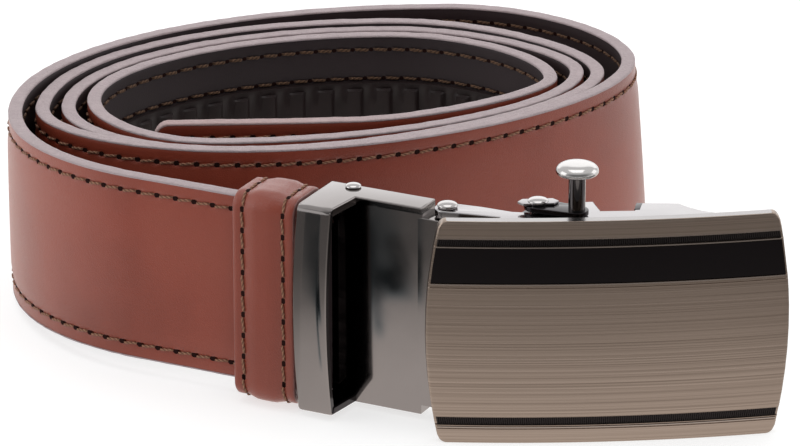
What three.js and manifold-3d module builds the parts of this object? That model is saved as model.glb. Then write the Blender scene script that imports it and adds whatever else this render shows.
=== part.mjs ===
// A ratchet belt: a stitched strap coiled on its edge, with a clamp and a hinged ratchet buckle.
// Millimetres, Z up, X along the buckle's plate, Y away from its face.
import * as THREE from 'three';
import { mergeVertices } from 'three/addons/utils/BufferGeometryUtils.js';
import Module from 'manifold-3d';

const wasm = await Module();
wasm.setup();

// Strap
const strapWidth = 35;
const leatherThick = 1.52;
const liningThick = 0.98;
const leatherCrown = 0.36;
const glueGap = 0.03;
const liningInset = 0.2;
const runLift = 3.1;
const tipCorner = 3;
const stepsPerBend = 16;
const stepsInTip = 20;

// Ratchet track on the lining
const trackWidth = 16.5;
const trackLow = 0.8;
const trackHigh = 1.8;
const toothPitch = 6;
const toothCount = 38;
const trackFromTip = 22;
const trackGap = 0.08;
const rampShare = 0.82;

// The coil seen from above, along the outer rim of the strap. Each row is the rim's outermost
// point on one side: its place, the share of the way to the tangents' corner that the curve's
// handles take before it, how high the strap stands there and how far its lower edge stands out.
const runYaw = 26.5;
const coilTurn = 4.1;
const runLength = 38.4;
const bends = [
  { side: 'left', x: -41, y: 49.3, handle: 0.602, lift: 1.9, lean: 0 },
  { side: 'back', x: 41.2, y: 112.9, handle: 0.545, lift: 0.9, lean: 0.6 },
  { side: 'right', x: 76.8, y: 79.5, handle: 0.503, lift: 0.9, lean: 2.6 },
  { side: 'front', x: 2.2, y: 26.6, handle: 0.463, lift: 1.2, lean: 0.8 },
  { side: 'left', x: -36.2, y: 52.2, handle: 0.54, lift: 0.9, lean: 0 },
  { side: 'back', x: 30.7, y: 105, handle: 0.558, lift: 0.5, lean: 0 },
  { side: 'right', x: 70.7, y: 74.1, handle: 0.458, lift: 0.2, lean: 0 },
  { side: 'front', x: 1.8, y: 30.05, handle: 0.44, lift: 0, lean: 0 },
  { side: 'left', x: -31.6, y: 56.1, handle: 0.572, lift: 0, lean: 0 },
  { side: 'back', x: 30.3, y: 101.6, handle: 0.542, lift: 0, lean: 0 },
  { side: 'right', x: 66.8, y: 74.9, handle: 0.448, lift: 0, lean: 0 },
  { side: 'front', x: -2.3, y: 34.4, handle: 0.487, lift: 0, lean: 0 },
  { side: 'left', x: -27, y: 59.7, handle: 0.521, lift: 0, lean: 0 },
  { side: 'back', x: 29.9, y: 98.2, handle: 0.521, lift: 0, lean: 0 },
  { side: 'right', x: 61.7, y: 71.3, handle: 0.491, lift: 0, lean: 0 },
  { side: 'tail', x: 24, y: 46.3, handle: 0.413, lift: 0, lean: 0 },
  { side: 'front', x: -13.9, y: 44.3, handle: 0.4, lift: 0, lean: 0 },
];
const heading = {
  left: [0, 1],
  back: [1, 0],
  right: [0, -1],
  front: [-1, 0],
  tail: [-0.994, -0.11],
};

// Clamp, measured from the front left upright edge of its loop. It is taller than the strap by
// clampOver at each edge, and everything of the buckle follows its height.
const clampOver = 2;
const clampBottom = runLift - clampOver;
const clampHeight = strapWidth + 2 * clampOver;
const clampTop = clampBottom + clampHeight;
const clampCorner = { x: 13.8, y: -11.3 };
const loopLong = 6.6;
const loopFront = -0.2;
const loopWall = 1.3;
const loopEndWall = 1.6;
const loopSlant = 0.9;
const strapFace = 4.05;
const strapInClamp = 3.4;
const armFront = 7.8;
const armBack = 13.2;
const armLong = 20.4;
const hingeX = 24.2;
const hingeY = 10.3;
const eyeRadius = 2.7;
const ledgeDrop = 1.8;
const jawPinX = 4.9;
const jawPinIn = 1.2;
const jawGap = 0.1;
const jawPinRadius = 0.9;
const jawHeadRadius = 1.45;
const pocket = { x0: 1.2, x1: 15, deep: 3, wall: 1.6, gap: 0.4 };

// Keeper loop
const keeperWidth = 12;
const keeperGap = 1;
const keeperWall = 1.6;
const keeperFront = 0.1;
const keeperBack = 11.6;
const keeperCorner = 3;
const keeperClear = 0.35;

// Buckle, measured from the plate's lower left front corner
const plateLong = 58.9;
const plateOver = 1.3;
const plateHigh = clampTop + plateOver;
const plateThick = 2;
const plateBow = 1.9;
const plateBulge = 2.35;
const plateCorner = 1.5;
const plateBevel = 0.45;
const plateHingeX = 2.2;
const plateHingeY = 10.3;
const wallThick = 1.5;
const pinRadius = 1.1;
const runClear = 0.09;
const pinFit = 0.06;
const earRadius = 2.3;
const rivetHead = 1.84;
const pawlX = 17.8;
const pawlY = 7.9;
const postX = 24.2;
const postY = 4.6;
const postRise = 6.8;
const postRadius = 1.4;
const postHeadRadius = 3.55;
const leverThick = 0.9;
const leverGap = 0.25;
const pawlSideGap = 1;

// Rows of the plate's face, each so far up from its lower edge or down from its upper one, and how
// deep the face is cut there.
const plateRows = [
  { up: 0, cut: plateBevel },
  { up: 0.45, cut: 0 },
  { up: 1.2, cut: 0 },
  { up: 2.8, cut: 0 },
  { up: 2.81, cut: 0.2 },
  { up: 3.2, cut: 0.2 },
  { up: 3.4, cut: 0 },
  { up: 3.41, cut: 0.35 },
  { up: 4.8, cut: 0.35 },
  { up: 4.81, cut: 0 },
  { up: 12, cut: 0 },
  { down: 20.7, cut: 0 },
  { down: 12.2, cut: 0 },
  { down: 11.5, cut: 0 },
  { down: 11.49, cut: 0.4 },
  { down: 8.4, cut: 0.4 },
  { down: 5, cut: 0.4 },
  { down: 4.99, cut: 0 },
  { down: 4.6, cut: 0 },
  { down: 4.59, cut: 0.35 },
  { down: 3.4, cut: 0.35 },
  { down: 3.39, cut: 0 },
  { down: 2.7, cut: 0 },
  { down: 1.2, cut: 0 },
  { down: 0.45, cut: 0 },
  { down: 0, cut: plateBevel },
].map((row) => ({ z: row.up ?? plateHigh - row.down, cut: row.cut }));
const bandBottom = plateHigh - 11.43;
const bandTop = plateHigh - 5.06;
const bandShare = 0.984;
const bandDepth = 0.06;
const bandBack = 0.36;

// Outline of the frame's walls from above, from the hinge ear along the back and home by the front.
const wallBack = [
  { x: 3.4, y: 12.3 },
  { x: 8.2, y: 10.2 },
  { x: 13.2, y: 7.4 },
];
const wallEar = { from: 245, to: 60 };
const wallLug = { radius: 3.1, from: 165, to: 15 };
const wallFinger = [
  { x: 22.6, y: 6.5 },
  { x: 23.2, y: 9.6 },
  { x: 25.4, y: 11.2 },
  { x: 27.8, y: 11.4 },
  { x: 28.6, y: 6.6 },
];
const wallTab = [
  { x: 34.4, y: 6.4 },
  { x: 35.9, y: 10.1 },
  { x: 42.6, y: 9.4 },
  { x: 44, y: 7.6 },
  { x: 46.2, y: 5.6 },
  { x: 50.5, y: 3.4 },
];
const wallFrontX = [50.5, 44, 36, 29.4, 22, 15, 10.8];
const wallFrontEnd = { x: 10.8, y: 4.9 };
const wallBar = { x0: 36.6, x1: 42, y0: 7.6, y1: 9.2 };
const plateGap = 0.15;

// The pawl's nose and tail from above, beyond its boss.
const pawlBoss = 2;
const pawlNose = [
  { x: 26, y: 7.3 },
  { x: 29.2, y: 6.3 },
  { x: 31.2, y: 6.4 },
  { x: 31.6, y: 9.6 },
  { x: 24, y: 9.9 },
];

const metal = {
  gunmetal: { color: 0x6b6867, roughness: 0.22, metalness: 1 },
  chrome: { color: 0xc9cacc, roughness: 0.12, metalness: 1 },
  plate: { color: 0x857a6f, roughness: 0.35, metalness: 1 },
};

const group = new THREE.Group();

function add(name, geometry, look) {
  geometry.computeVertexNormals();
  const mesh = new THREE.Mesh(geometry, new THREE.MeshStandardMaterial(look));
  mesh.name = name;
  group.add(mesh);
  return mesh;
}

// Six times the enclosed volume, negative when the faces look inward.
function signedVolume(points, index) {
  let sum = 0;
  const a = new THREE.Vector3();
  const b = new THREE.Vector3();
  const c = new THREE.Vector3();
  for (let i = 0; i < index.length; i += 3) {
    a.fromArray(points, index[i] * 3);
    b.fromArray(points, index[i + 1] * 3);
    c.fromArray(points, index[i + 2] * 3);
    sum += a.dot(b.cross(c));
  }
  return sum;
}

function outward(points, index) {
  if (signedVolume(points, index) < 0) {
    for (let i = 0; i < index.length; i += 3) {
      const swap = index[i + 1];
      index[i + 1] = index[i + 2];
      index[i + 2] = swap;
    }
  }
  const geometry = new THREE.BufferGeometry();
  geometry.setAttribute('position', new THREE.Float32BufferAttribute(points, 3));
  geometry.setIndex(index);
  return geometry;
}

// One closed body through equal rings of points, with a flat fan over each end.
function skin(rings) {
  const points = [];
  const index = [];
  const n = rings[0].length;
  for (const ring of rings) {
    for (const p of ring) {
      points.push(p.x, p.y, p.z);
    }
  }
  for (let r = 0; r < rings.length - 1; r += 1) {
    for (let k = 0; k < n; k += 1) {
      const a = r * n + k;
      const b = r * n + (k + 1) % n;
      index.push(a, b, b + n, a, b + n, a + n);
    }
  }
  const last = (rings.length - 1) * n;
  for (let k = 1; k < n - 1; k += 1) {
    index.push(0, k + 1, k);
    index.push(last, last + k, last + k + 1);
  }
  return outward(points, index);
}

function toSolid(geometry) {
  const g = geometry.clone();
  g.deleteAttribute('normal');
  g.deleteAttribute('uv');
  const m = mergeVertices(g, 1e-5);
  return new wasm.Manifold(new wasm.Mesh({
    numProp: 3,
    vertProperties: new Float32Array(m.attributes.position.array),
    triVerts: new Uint32Array(m.index.array),
  }));
}

function fromSolid(solid) {
  const mesh = solid.getMesh();
  const geometry = new THREE.BufferGeometry();
  geometry.setAttribute('position', new THREE.Float32BufferAttribute(mesh.vertProperties, 3));
  geometry.setIndex(Array.from(mesh.triVerts));
  return geometry;
}

// A plan outline raised from one height to another.
function raise(outline, low, high, holes = []) {
  const shape = outline instanceof THREE.Shape ? outline : new THREE.Shape(outline);
  for (const hole of holes) {
    shape.holes.push(round(hole.x, hole.y, hole.radius));
  }
  const geometry = new THREE.ExtrudeGeometry(shape, {
    depth: high - low,
    bevelEnabled: false,
    curveSegments: 9,
  });
  geometry.translate(0, 0, low);
  return geometry;
}

function round(x, y, radius) {
  const path = new THREE.Path();
  path.absarc(x, y, radius, 0, Math.PI * 2, false);
  return path;
}

function box(x0, x1, y0, y1, z0, z1) {
  const geometry = new THREE.BoxGeometry(x1 - x0, y1 - y0, z1 - z0);
  geometry.translate((x0 + x1) / 2, (y0 + y1) / 2, (z0 + z1) / 2);
  return geometry;
}

// A turned piece: rows of radius and height around an upright axis.
function turned(x, y, rows, segments = 18) {
  const profile = rows.map((row) => new THREE.Vector2(row.r, row.z));
  const geometry = new THREE.LatheGeometry(profile, segments);
  geometry.rotateX(Math.PI / 2);
  geometry.translate(x, y, 0);
  return geometry;
}

// Domed head: a short rim, then a cap that falls away as an ellipse.
function dome(radius, low, rim, cap) {
  const rows = [{ r: radius, z: low }, { r: radius, z: low + rim }];
  for (let i = 1; i < 4; i += 1) {
    const a = (i / 4) * Math.PI / 2;
    rows.push({ r: radius * Math.cos(a), z: low + rim + cap * Math.sin(a) });
  }
  rows.push({ r: 0, z: low + rim + cap });
  return rows;
}

const clampSpot = new THREE.Matrix4().makeRotationZ(-THREE.MathUtils.degToRad(runYaw + coilTurn))
  .multiply(new THREE.Matrix4().makeTranslation(-hingeX, -hingeY, 0));
const buckleSpot = new THREE.Matrix4().makeTranslation(-plateHingeX, -plateHingeY, 0);
const runDir = new THREE.Vector2(Math.cos(THREE.MathUtils.degToRad(runYaw)),
  -Math.sin(THREE.MathUtils.degToRad(runYaw)));
const runBack = new THREE.Vector2(-runDir.y, runDir.x);
const hingeSpot = new THREE.Vector2(clampCorner.x, clampCorner.y)
  .addScaledVector(runDir, hingeX).addScaledVector(runBack, hingeY);
const coilSpot = new THREE.Matrix4().makeRotationZ(-THREE.MathUtils.degToRad(coilTurn))
  .multiply(new THREE.Matrix4().makeTranslation(-hingeSpot.x, -hingeSpot.y, 0));

const cross = (p, q) => p.x * q.y - p.y * q.x;
const smooth = (t) => t * t * (3 - 2 * t);
const mix = (a, b, t) => a + (b - a) * t;

// Stations along the strap: the place of its upper outer rim, the way ahead, the way out,
// the lift, the lean and the length from the clamp.
function strapStations() {
  const rows = [];
  const start = new THREE.Vector2(clampCorner.x, clampCorner.y)
    .addScaledVector(runDir, strapInClamp).addScaledVector(runBack, strapFace);
  const back = runDir.clone().negate();
  const runEnd = start.clone().addScaledVector(back, runLength);
  for (let i = 0; i < 8; i += 1) {
    const at = start.clone().addScaledVector(back, runLength * i / 8);
    rows.push({ at, ahead: back.clone(), lift: runLift, lean: 0 });
  }
  let from = { at: runEnd, way: back, lift: runLift, lean: 0 };
  bends.forEach((bend, i) => {
    const to = {
      at: new THREE.Vector2(bend.x, bend.y),
      way: new THREE.Vector2(...heading[bend.side]),
      lift: bend.lift,
      lean: bend.lean,
    };
    const gap = to.at.clone().sub(from.at);
    const turn = cross(from.way, to.way);
    const parallel = Math.abs(turn) < 0.01;
    const reachA = parallel ? gap.length() : cross(gap, to.way) / turn;
    const reachB = parallel ? gap.length() : cross(from.way, gap) / turn;
    const a = from.at;
    const b = from.at.clone().addScaledVector(from.way, reachA * bend.handle);
    const c = to.at.clone().addScaledVector(to.way, -reachB * bend.handle);
    const curve = new THREE.CubicBezierCurve(a, b, c, to.at);
    const steps = i === bends.length - 1 ? stepsInTip : stepsPerBend;
    const last = i === bends.length - 1 ? steps : steps - 1;
    for (let k = 0; k <= last; k += 1) {
      const t = k / steps;
      rows.push({
        at: curve.getPoint(t),
        ahead: curve.getTangent(t),
        lift: mix(from.lift, to.lift, smooth(t)),
        lean: mix(from.lean, to.lean, smooth(t)),
      });
    }
    from = to;
  });
  let length = 0;
  rows.forEach((row, i) => {
    if (i > 0) {
      length += row.at.distanceTo(rows[i - 1].at);
    }
    row.length = length;
    row.out = new THREE.Vector2(-row.ahead.y, row.ahead.x);
  });
  return rows;
}

// The strap runs clockwise seen from above, so its outer side is to the left of the way ahead.
function sectionPoint(row, out, high) {
  const reach = out + row.lean * (1 - high / strapWidth);
  return new THREE.Vector3(
    row.at.x + row.out.x * reach,
    row.at.y + row.out.y * reach,
    row.lift + high,
  );
}

// How much the tail's rounded corners take off each edge at a length along the strap.
function tipInset(length, total) {
  const into = tipCorner - (total - length);
  return into <= 0 ? 0 : tipCorner - Math.sqrt(Math.max(tipCorner ** 2 - into ** 2, 0.04));
}

const stations = strapStations();
const strapLength = stations[stations.length - 1].length;
const ply = leatherThick + glueGap + liningThick;

const leatherRings = stations.map((row) => {
  const inset = tipInset(row.length, strapLength);
  const low = inset;
  const high = strapWidth - inset;
  const at = (share) => mix(low, high, share);
  return [
    sectionPoint(row, 0, at(0)),
    sectionPoint(row, leatherCrown * 0.75, at(0.09)),
    sectionPoint(row, leatherCrown, at(0.5)),
    sectionPoint(row, leatherCrown * 0.75, at(0.91)),
    sectionPoint(row, 0, at(1)),
    sectionPoint(row, -leatherThick, at(1)),
    sectionPoint(row, -leatherThick, at(0)),
  ];
});
const leather = skin(leatherRings);

const liningRings = stations.map((row) => {
  const inset = tipInset(row.length, strapLength) + liningInset;
  return [
    sectionPoint(row, -leatherThick - glueGap, strapWidth - inset),
    sectionPoint(row, -leatherThick - glueGap, inset),
    sectionPoint(row, -ply, inset),
    sectionPoint(row, -ply, strapWidth - inset),
  ];
});
const lining = skin(liningRings);

// A station at any length, between its two neighbours.
function stationAt(length) {
  let i = 1;
  while (i < stations.length - 1 && stations[i].length < length) {
    i += 1;
  }
  const a = stations[i - 1];
  const b = stations[i];
  const t = (length - a.length) / (b.length - a.length);
  return {
    at: a.at.clone().lerp(b.at, t),
    out: a.out.clone().lerp(b.out, t).normalize(),
    lift: mix(a.lift, b.lift, t),
    lean: mix(a.lean, b.lean, t),
  };
}

const trackRings = [];
for (let i = 0; i < toothCount; i += 1) {
  const start = strapLength - trackFromTip - toothCount * toothPitch + i * toothPitch;
  for (const [share, thick] of [[0, trackLow], [rampShare, trackHigh]]) {
    const row = stationAt(start + share * toothPitch);
    const low = (strapWidth - trackWidth) / 2;
    const high = low + trackWidth;
    const near = -ply - trackGap;
    trackRings.push([
      sectionPoint(row, near, low),
      sectionPoint(row, near, high),
      sectionPoint(row, near - thick, high),
      sectionPoint(row, near - thick, low),
    ]);
  }
}
const track = skin(trackRings);

// Keeper: a rounded ring around the strap, its width lying along the run.
function ringShape(x0, x1, z0, z1, radius) {
  const shape = new THREE.Shape();
  shape.moveTo(x0 + radius, z0);
  shape.lineTo(x1 - radius, z0);
  shape.absarc(x1 - radius, z0 + radius, radius, -Math.PI / 2, 0, false);
  shape.lineTo(x1, z1 - radius);
  shape.absarc(x1 - radius, z1 - radius, radius, 0, Math.PI / 2, false);
  shape.lineTo(x0 + radius, z1);
  shape.absarc(x0 + radius, z1 - radius, radius, Math.PI / 2, Math.PI, false);
  shape.lineTo(x0, z0 + radius);
  shape.absarc(x0 + radius, z0 + radius, radius, Math.PI, Math.PI * 1.5, false);
  return shape;
}

const keeperLow = runLift - keeperClear - keeperWall;
const keeperHigh = runLift + strapWidth + keeperClear + keeperWall;
const keeperShape = ringShape(keeperFront, keeperBack, keeperLow, keeperHigh, keeperCorner);
keeperShape.holes.push(ringShape(keeperFront + keeperWall, keeperBack - keeperWall,
  keeperLow + keeperWall, keeperHigh - keeperWall, keeperCorner - keeperWall));
const keeper = new THREE.ExtrudeGeometry(keeperShape, {
  depth: keeperWidth,
  bevelEnabled: false,
  curveSegments: 8,
});
keeper.applyMatrix4(new THREE.Matrix4().makeBasis(
  new THREE.Vector3(0, 1, 0), new THREE.Vector3(0, 0, 1), new THREE.Vector3(1, 0, 0)));
keeper.translate(-keeperGap - keeperWidth, 0, 0);

// Clamp: the arm with its hinge eye, the loop in front of it, a pocket for the jaw behind.
const armShape = [
  new THREE.Vector2(0, armFront),
  new THREE.Vector2(armLong, armFront),
  new THREE.Vector2(armLong, armBack),
  new THREE.Vector2(0, armBack),
];
const eyeShape = new THREE.Shape();
eyeShape.moveTo(armLong - 2, armFront);
eyeShape.lineTo(hingeX, hingeY - eyeRadius);
eyeShape.absarc(hingeX, hingeY, eyeRadius, -Math.PI / 2, Math.PI / 2, false);
eyeShape.lineTo(armLong - 2, armBack);
const jawPinY = armBack - jawPinIn;
const loopInner = [
  new THREE.Vector2(-1, loopFront + loopWall),
  new THREE.Vector2(9, loopFront + loopWall),
  new THREE.Vector2(9, armFront),
  new THREE.Vector2(-1, armFront),
];
const drill = (x, y, radius) => turned(x, y, [
  { r: 0, z: clampBottom - 1 },
  { r: radius, z: clampBottom - 1 },
  { r: radius, z: clampTop + 1 },
  { r: 0, z: clampTop + 1 },
]);
const loopOutline = [
  new THREE.Vector2(0, loopFront),
  new THREE.Vector2(loopLong, loopFront),
  new THREE.Vector2(loopLong + loopSlant, armFront + 1),
  new THREE.Vector2(0, armFront + 1),
];
const clampSolid = toSolid(raise(armShape, clampBottom, clampTop))
  .add(toSolid(raise(eyeShape, clampBottom + ledgeDrop, clampTop - ledgeDrop)))
  .add(toSolid(raise(loopOutline, clampBottom, clampTop)))
  .subtract(toSolid(raise(loopInner, clampBottom + loopEndWall, clampTop - loopEndWall)))
  .subtract(toSolid(box(pocket.x0, pocket.x1, armBack - pocket.deep, armBack + 1,
    clampBottom + pocket.wall, clampTop - pocket.wall)))
  .subtract(toSolid(drill(hingeX, hingeY, pinRadius + runClear)))
  .subtract(toSolid(drill(jawPinX, jawPinY, jawPinRadius + jawGap)));
const clamp = fromSolid(clampSolid);

// Jaw: a flap with an eye around its pin.
const jawShape = new THREE.Shape();
jawShape.absarc(jawPinX, jawPinY, jawPinRadius + 0.55, Math.PI * 0.25, Math.PI * 1.75, false);
jawShape.lineTo(pocket.x1 - 0.5, armBack - 1.8);
jawShape.lineTo(pocket.x1 - 0.5, armBack - 0.4);
const jaw = raise(jawShape, clampBottom + pocket.wall + pocket.gap, clampTop - pocket.wall - pocket.gap,
  [{ x: jawPinX, y: jawPinY, radius: jawPinRadius + jawGap }]);
const jawPin = turned(jawPinX, jawPinY, [
  { r: 0, z: clampBottom },
  { r: jawPinRadius, z: clampBottom },
  { r: jawPinRadius, z: clampTop + 0.1 },
  ...dome(jawHeadRadius, clampTop + 0.1, 0.15, 0.75),
]);

// Hinge pin: it runs through the eye and both ears.
const hingePin = turned(plateHingeX, plateHingeY, [
  { r: 0, z: clampBottom + 0.1 },
  { r: pinRadius, z: clampBottom + 0.1 },
  { r: pinRadius, z: clampTop + 0.1 },
  ...dome(rivetHead, clampTop + 0.1, 0.3, 0.95),
]);

const plateMid = plateLong / 2;
const faceY = (x) => -plateBow * (1 - ((x - plateMid) / plateMid) ** 2);

// Frame: two walls with the same outline, joined by a bar at the tab and one behind the hinge.
function wallOutline(finger) {
  const points = [];
  const arc = (cx, cy, radius, from, to, steps) => {
    for (let i = 0; i <= steps; i += 1) {
      const a = THREE.MathUtils.degToRad(mix(from, to, i / steps));
      points.push(new THREE.Vector2(cx + radius * Math.cos(a), cy + radius * Math.sin(a)));
    }
  };
  arc(plateHingeX, plateHingeY, earRadius, wallEar.from, wallEar.to, 9);
  for (const p of wallBack) {
    points.push(new THREE.Vector2(p.x, p.y));
  }
  arc(pawlX, pawlY, wallLug.radius, wallLug.from, wallLug.to, 8);
  for (const p of finger ? [...wallFinger, ...wallTab] : wallTab) {
    points.push(new THREE.Vector2(p.x, p.y));
  }
  for (const x of wallFrontX) {
    points.push(new THREE.Vector2(x, faceY(x) + plateThick + plateGap));
  }
  points.push(new THREE.Vector2(wallFrontEnd.x, wallFrontEnd.y));
  return points;
}

const frameHoles = [
  { x: plateHingeX, y: plateHingeY, radius: pinRadius + pinFit },
  { x: pawlX, y: pawlY, radius: pinRadius + pinFit },
];
const rearBar = box(wallBar.x0, wallBar.x1, wallBar.y0, wallBar.y1, clampBottom, clampTop);
const frameSolid = toSolid(raise(wallOutline(true), clampTop - wallThick, clampTop, frameHoles))
  .add(toSolid(raise(wallOutline(false), clampBottom, clampBottom + wallThick, frameHoles)))
  .add(toSolid(rearBar));
const frame = fromSolid(frameSolid);

// Plate: rows across, bowed outward, its two sides bulging between rounded corners.
function plateSide(z) {
  const up = (z - plateHigh / 2) / (plateHigh / 2);
  const near = Math.min(z, plateHigh - z);
  const corner = near < plateCorner
    ? plateCorner - Math.sqrt(plateCorner ** 2 - (plateCorner - near) ** 2) : 0;
  return plateMid + plateBulge * (1 - up * up) - corner * 0.8;
}

// A bowed sheet between a front and a back: columns take a place across, rows a height.
function sheet(rows, shares, half, front, back) {
  const points = [];
  const index = [];
  const nc = shares.length;
  const nr = rows.length;
  for (const side of [0, 1]) {
    for (const row of rows) {
      shares.forEach((share, k) => {
        const x = plateMid + half(row.z) * share;
        const edge = k === 0 || k === nc - 1;
        const y = side === 0 ? front(x, row, edge) : back(x, row);
        points.push(x, y, row.z);
      });
    }
  }
  const n = nc * nr;
  for (let r = 0; r < nr - 1; r += 1) {
    for (let k = 0; k < nc - 1; k += 1) {
      const a = r * nc + k;
      index.push(a, a + 1, a + nc + 1, a, a + nc + 1, a + nc);
      index.push(n + a, n + a + nc + 1, n + a + 1, n + a, n + a + nc, n + a + nc + 1);
    }
  }
  const wall = (a, b) => index.push(a, n + b, b, a, n + a, n + b);
  for (let k = 0; k < nc - 1; k += 1) {
    wall(k, k + 1);
    wall((nr - 1) * nc + k + 1, (nr - 1) * nc + k);
  }
  for (let r = 0; r < nr - 1; r += 1) {
    wall((r + 1) * nc, r * nc);
    wall(r * nc + nc - 1, (r + 1) * nc + nc - 1);
  }
  return outward(points, index);
}

const columns = [-1, -0.985, -0.8, -0.6, -0.4, -0.2, 0, 0.2, 0.4, 0.6, 0.8, 0.985, 1];
const plate = sheet(plateRows, columns, plateSide,
  (x, row, edge) => faceY(x) + (edge ? Math.max(row.cut, plateBevel) : row.cut),
  (x) => faceY(x) + plateThick);
const bandRows = [0, 1 / 3, 2 / 3, 1].map((share) => ({ z: mix(bandBottom, bandTop, share) }));
const band = sheet(bandRows, columns, (z) => plateSide(z) * bandShare,
  (x) => faceY(x) + bandDepth, (x) => faceY(x) + bandBack);

// Pawl: a bar on the rivet with a tooth toward the strap's way.
const pawlShape = new THREE.Shape();
pawlShape.absarc(pawlX, pawlY, pawlBoss, Math.PI * 0.5, Math.PI * 1.6, false);
for (const p of pawlNose) {
  pawlShape.lineTo(p.x, p.y);
}
const pawlEnd = wallThick + pawlSideGap;
const pawl = raise(pawlShape, clampBottom + pawlEnd, clampTop - pawlEnd,
  [{ x: pawlX, y: pawlY, radius: pinRadius + runClear }]);
const leverTop = clampTop + leverGap + leverThick;
const pawlRivet = turned(pawlX, pawlY, [
  { r: 0, z: clampBottom + 0.1 },
  { r: pinRadius, z: clampBottom + 0.1 },
  { r: pinRadius, z: leverTop + 0.1 },
  ...dome(rivetHead, leverTop + 0.1, 0.25, 0.8),
]);

// Lever: a flat link from the rivet to the mushroom-headed post.
const postTop = clampTop + postRise;
const leverShape = new THREE.Shape();
const leverAngle = Math.atan2(postY - pawlY, postX - pawlX);
leverShape.absarc(pawlX, pawlY, 2.5, leverAngle + Math.PI / 2, leverAngle - Math.PI / 2, false);
leverShape.absarc(postX, postY, 2.1, leverAngle - Math.PI / 2, leverAngle + Math.PI / 2, false);
const lever = fromSolid(toSolid(raise(leverShape, clampTop + leverGap, leverTop,
  [{ x: pawlX, y: pawlY, radius: pinRadius + runClear }]))
  .add(toSolid(turned(postX, postY, [
    { r: 0, z: clampTop + leverGap + 0.1 },
    { r: postRadius, z: clampTop + leverGap + 0.1 },
    { r: postRadius, z: postTop - 0.7 },
    { r: postRadius + 0.8, z: postTop - 0.3 },
    ...dome(postHeadRadius, postTop, 0.7, 2.3),
  ], 24))));

for (const piece of [keeper, clamp, jaw, jawPin]) {
  piece.applyMatrix4(clampSpot);
}
for (const piece of [hingePin, frame, plate, band, pawl, pawlRivet, lever]) {
  piece.applyMatrix4(buckleSpot);
}
for (const piece of [leather, lining, track]) {
  piece.applyMatrix4(coilSpot);
}

add('strap_leather', leather, { color: 0x8a4b3e, roughness: 0.5, metalness: 0 });
add('strap_lining', lining, { color: 0x33292b, roughness: 0.7, metalness: 0 });
add('ratchet_track', track, { color: 0x1f1a1c, roughness: 0.45, metalness: 0 });
add('keeper_loop', keeper, { color: 0x8f4f41, roughness: 0.5, metalness: 0 });
add('clamp_body', clamp, metal.gunmetal);
add('clamp_jaw', jaw, metal.gunmetal);
add('clamp_pin', jawPin, metal.chrome);
add('hinge_pin', hingePin, metal.chrome);
add('buckle_frame', frame, metal.chrome);
add('face_plate', plate, metal.plate);
add('face_band', band, { color: 0x141112, roughness: 0.15, metalness: 0.3 });
add('pawl', pawl, metal.chrome);
add('pawl_rivet', pawlRivet, metal.chrome);
add('release_lever', lever, metal.chrome);

// The origin is the middle of the whole belt, on the surface that it stands on.
const whole = new THREE.Box3().setFromObject(group);
const middle = whole.getCenter(new THREE.Vector3());
for (const mesh of group.children) {
  mesh.geometry.translate(-middle.x, -middle.y, -whole.min.z);
}

export default group;
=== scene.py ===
# A coiled leather ratchet belt with a stitched keeper, an end clamp and a plate buckle.
from math import cos, pi, radians, sin

import bmesh
import bpy
import numpy as np
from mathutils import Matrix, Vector


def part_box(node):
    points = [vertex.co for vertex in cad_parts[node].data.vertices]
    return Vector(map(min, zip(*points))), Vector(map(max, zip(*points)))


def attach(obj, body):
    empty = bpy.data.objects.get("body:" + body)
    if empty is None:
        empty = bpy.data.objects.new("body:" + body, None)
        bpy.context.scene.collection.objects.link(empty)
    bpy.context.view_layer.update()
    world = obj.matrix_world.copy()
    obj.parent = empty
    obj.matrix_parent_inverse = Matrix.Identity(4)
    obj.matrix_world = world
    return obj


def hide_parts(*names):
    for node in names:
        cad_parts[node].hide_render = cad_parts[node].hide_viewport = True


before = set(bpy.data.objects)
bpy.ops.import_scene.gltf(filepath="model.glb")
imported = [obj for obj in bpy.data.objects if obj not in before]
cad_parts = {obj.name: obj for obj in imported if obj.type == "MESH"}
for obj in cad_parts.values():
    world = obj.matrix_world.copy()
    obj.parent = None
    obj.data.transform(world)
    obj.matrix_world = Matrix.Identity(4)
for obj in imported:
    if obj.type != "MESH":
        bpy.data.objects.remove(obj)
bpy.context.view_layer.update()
print("frame loaded")

# Everything is worked out in millimetres on three plans, and set into the row's frame in metres.
# All three turn about the hinge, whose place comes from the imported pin.
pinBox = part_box("hinge_pin")
hingeX = (pinBox[0].x + pinBox[1].x) * 500
hingeY = (pinBox[0].y + pinBox[1].y) * 500
plans = {
    "coil": {"yaw": 4.1, "hinge": (40.0535, -12.8802)},
    "clamp": {"yaw": 30.6, "hinge": (24.2, 10.3)},
    "buckle": {"yaw": 0.0, "hinge": (2.2, 10.3)},
}


def placed(points, plan):
    # the points turn clockwise by the plan's yaw about its hinge, which then lands on the row's hinge
    yaw = radians(plans[plan]["yaw"])
    x = points[..., 0] - plans[plan]["hinge"][0]
    y = points[..., 1] - plans[plan]["hinge"][1]
    turned = (x * cos(yaw) + y * sin(yaw) + hingeX, -x * sin(yaw) + y * cos(yaw) + hingeY)
    return np.stack((*turned, points[..., 2]), -1) * 0.001


def meshFrom(name, points, faces):
    # a mesh from rows of points and arrays of equal-sided faces
    mesh = bpy.data.meshes.new(name)
    mesh.vertices.add(len(points))
    mesh.vertices.foreach_set("co", points.astype(np.float32).ravel())
    loops = np.concatenate([ring.ravel() for ring in faces]).astype(np.int32)
    sizes = np.concatenate([np.full(len(ring), ring.shape[1]) for ring in faces])
    mesh.loops.add(len(loops))
    mesh.loops.foreach_set("vertex_index", loops)
    mesh.polygons.add(len(sizes))
    mesh.polygons.foreach_set("loop_start", (np.cumsum(sizes) - sizes).astype(np.int32))
    return mesh


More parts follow.
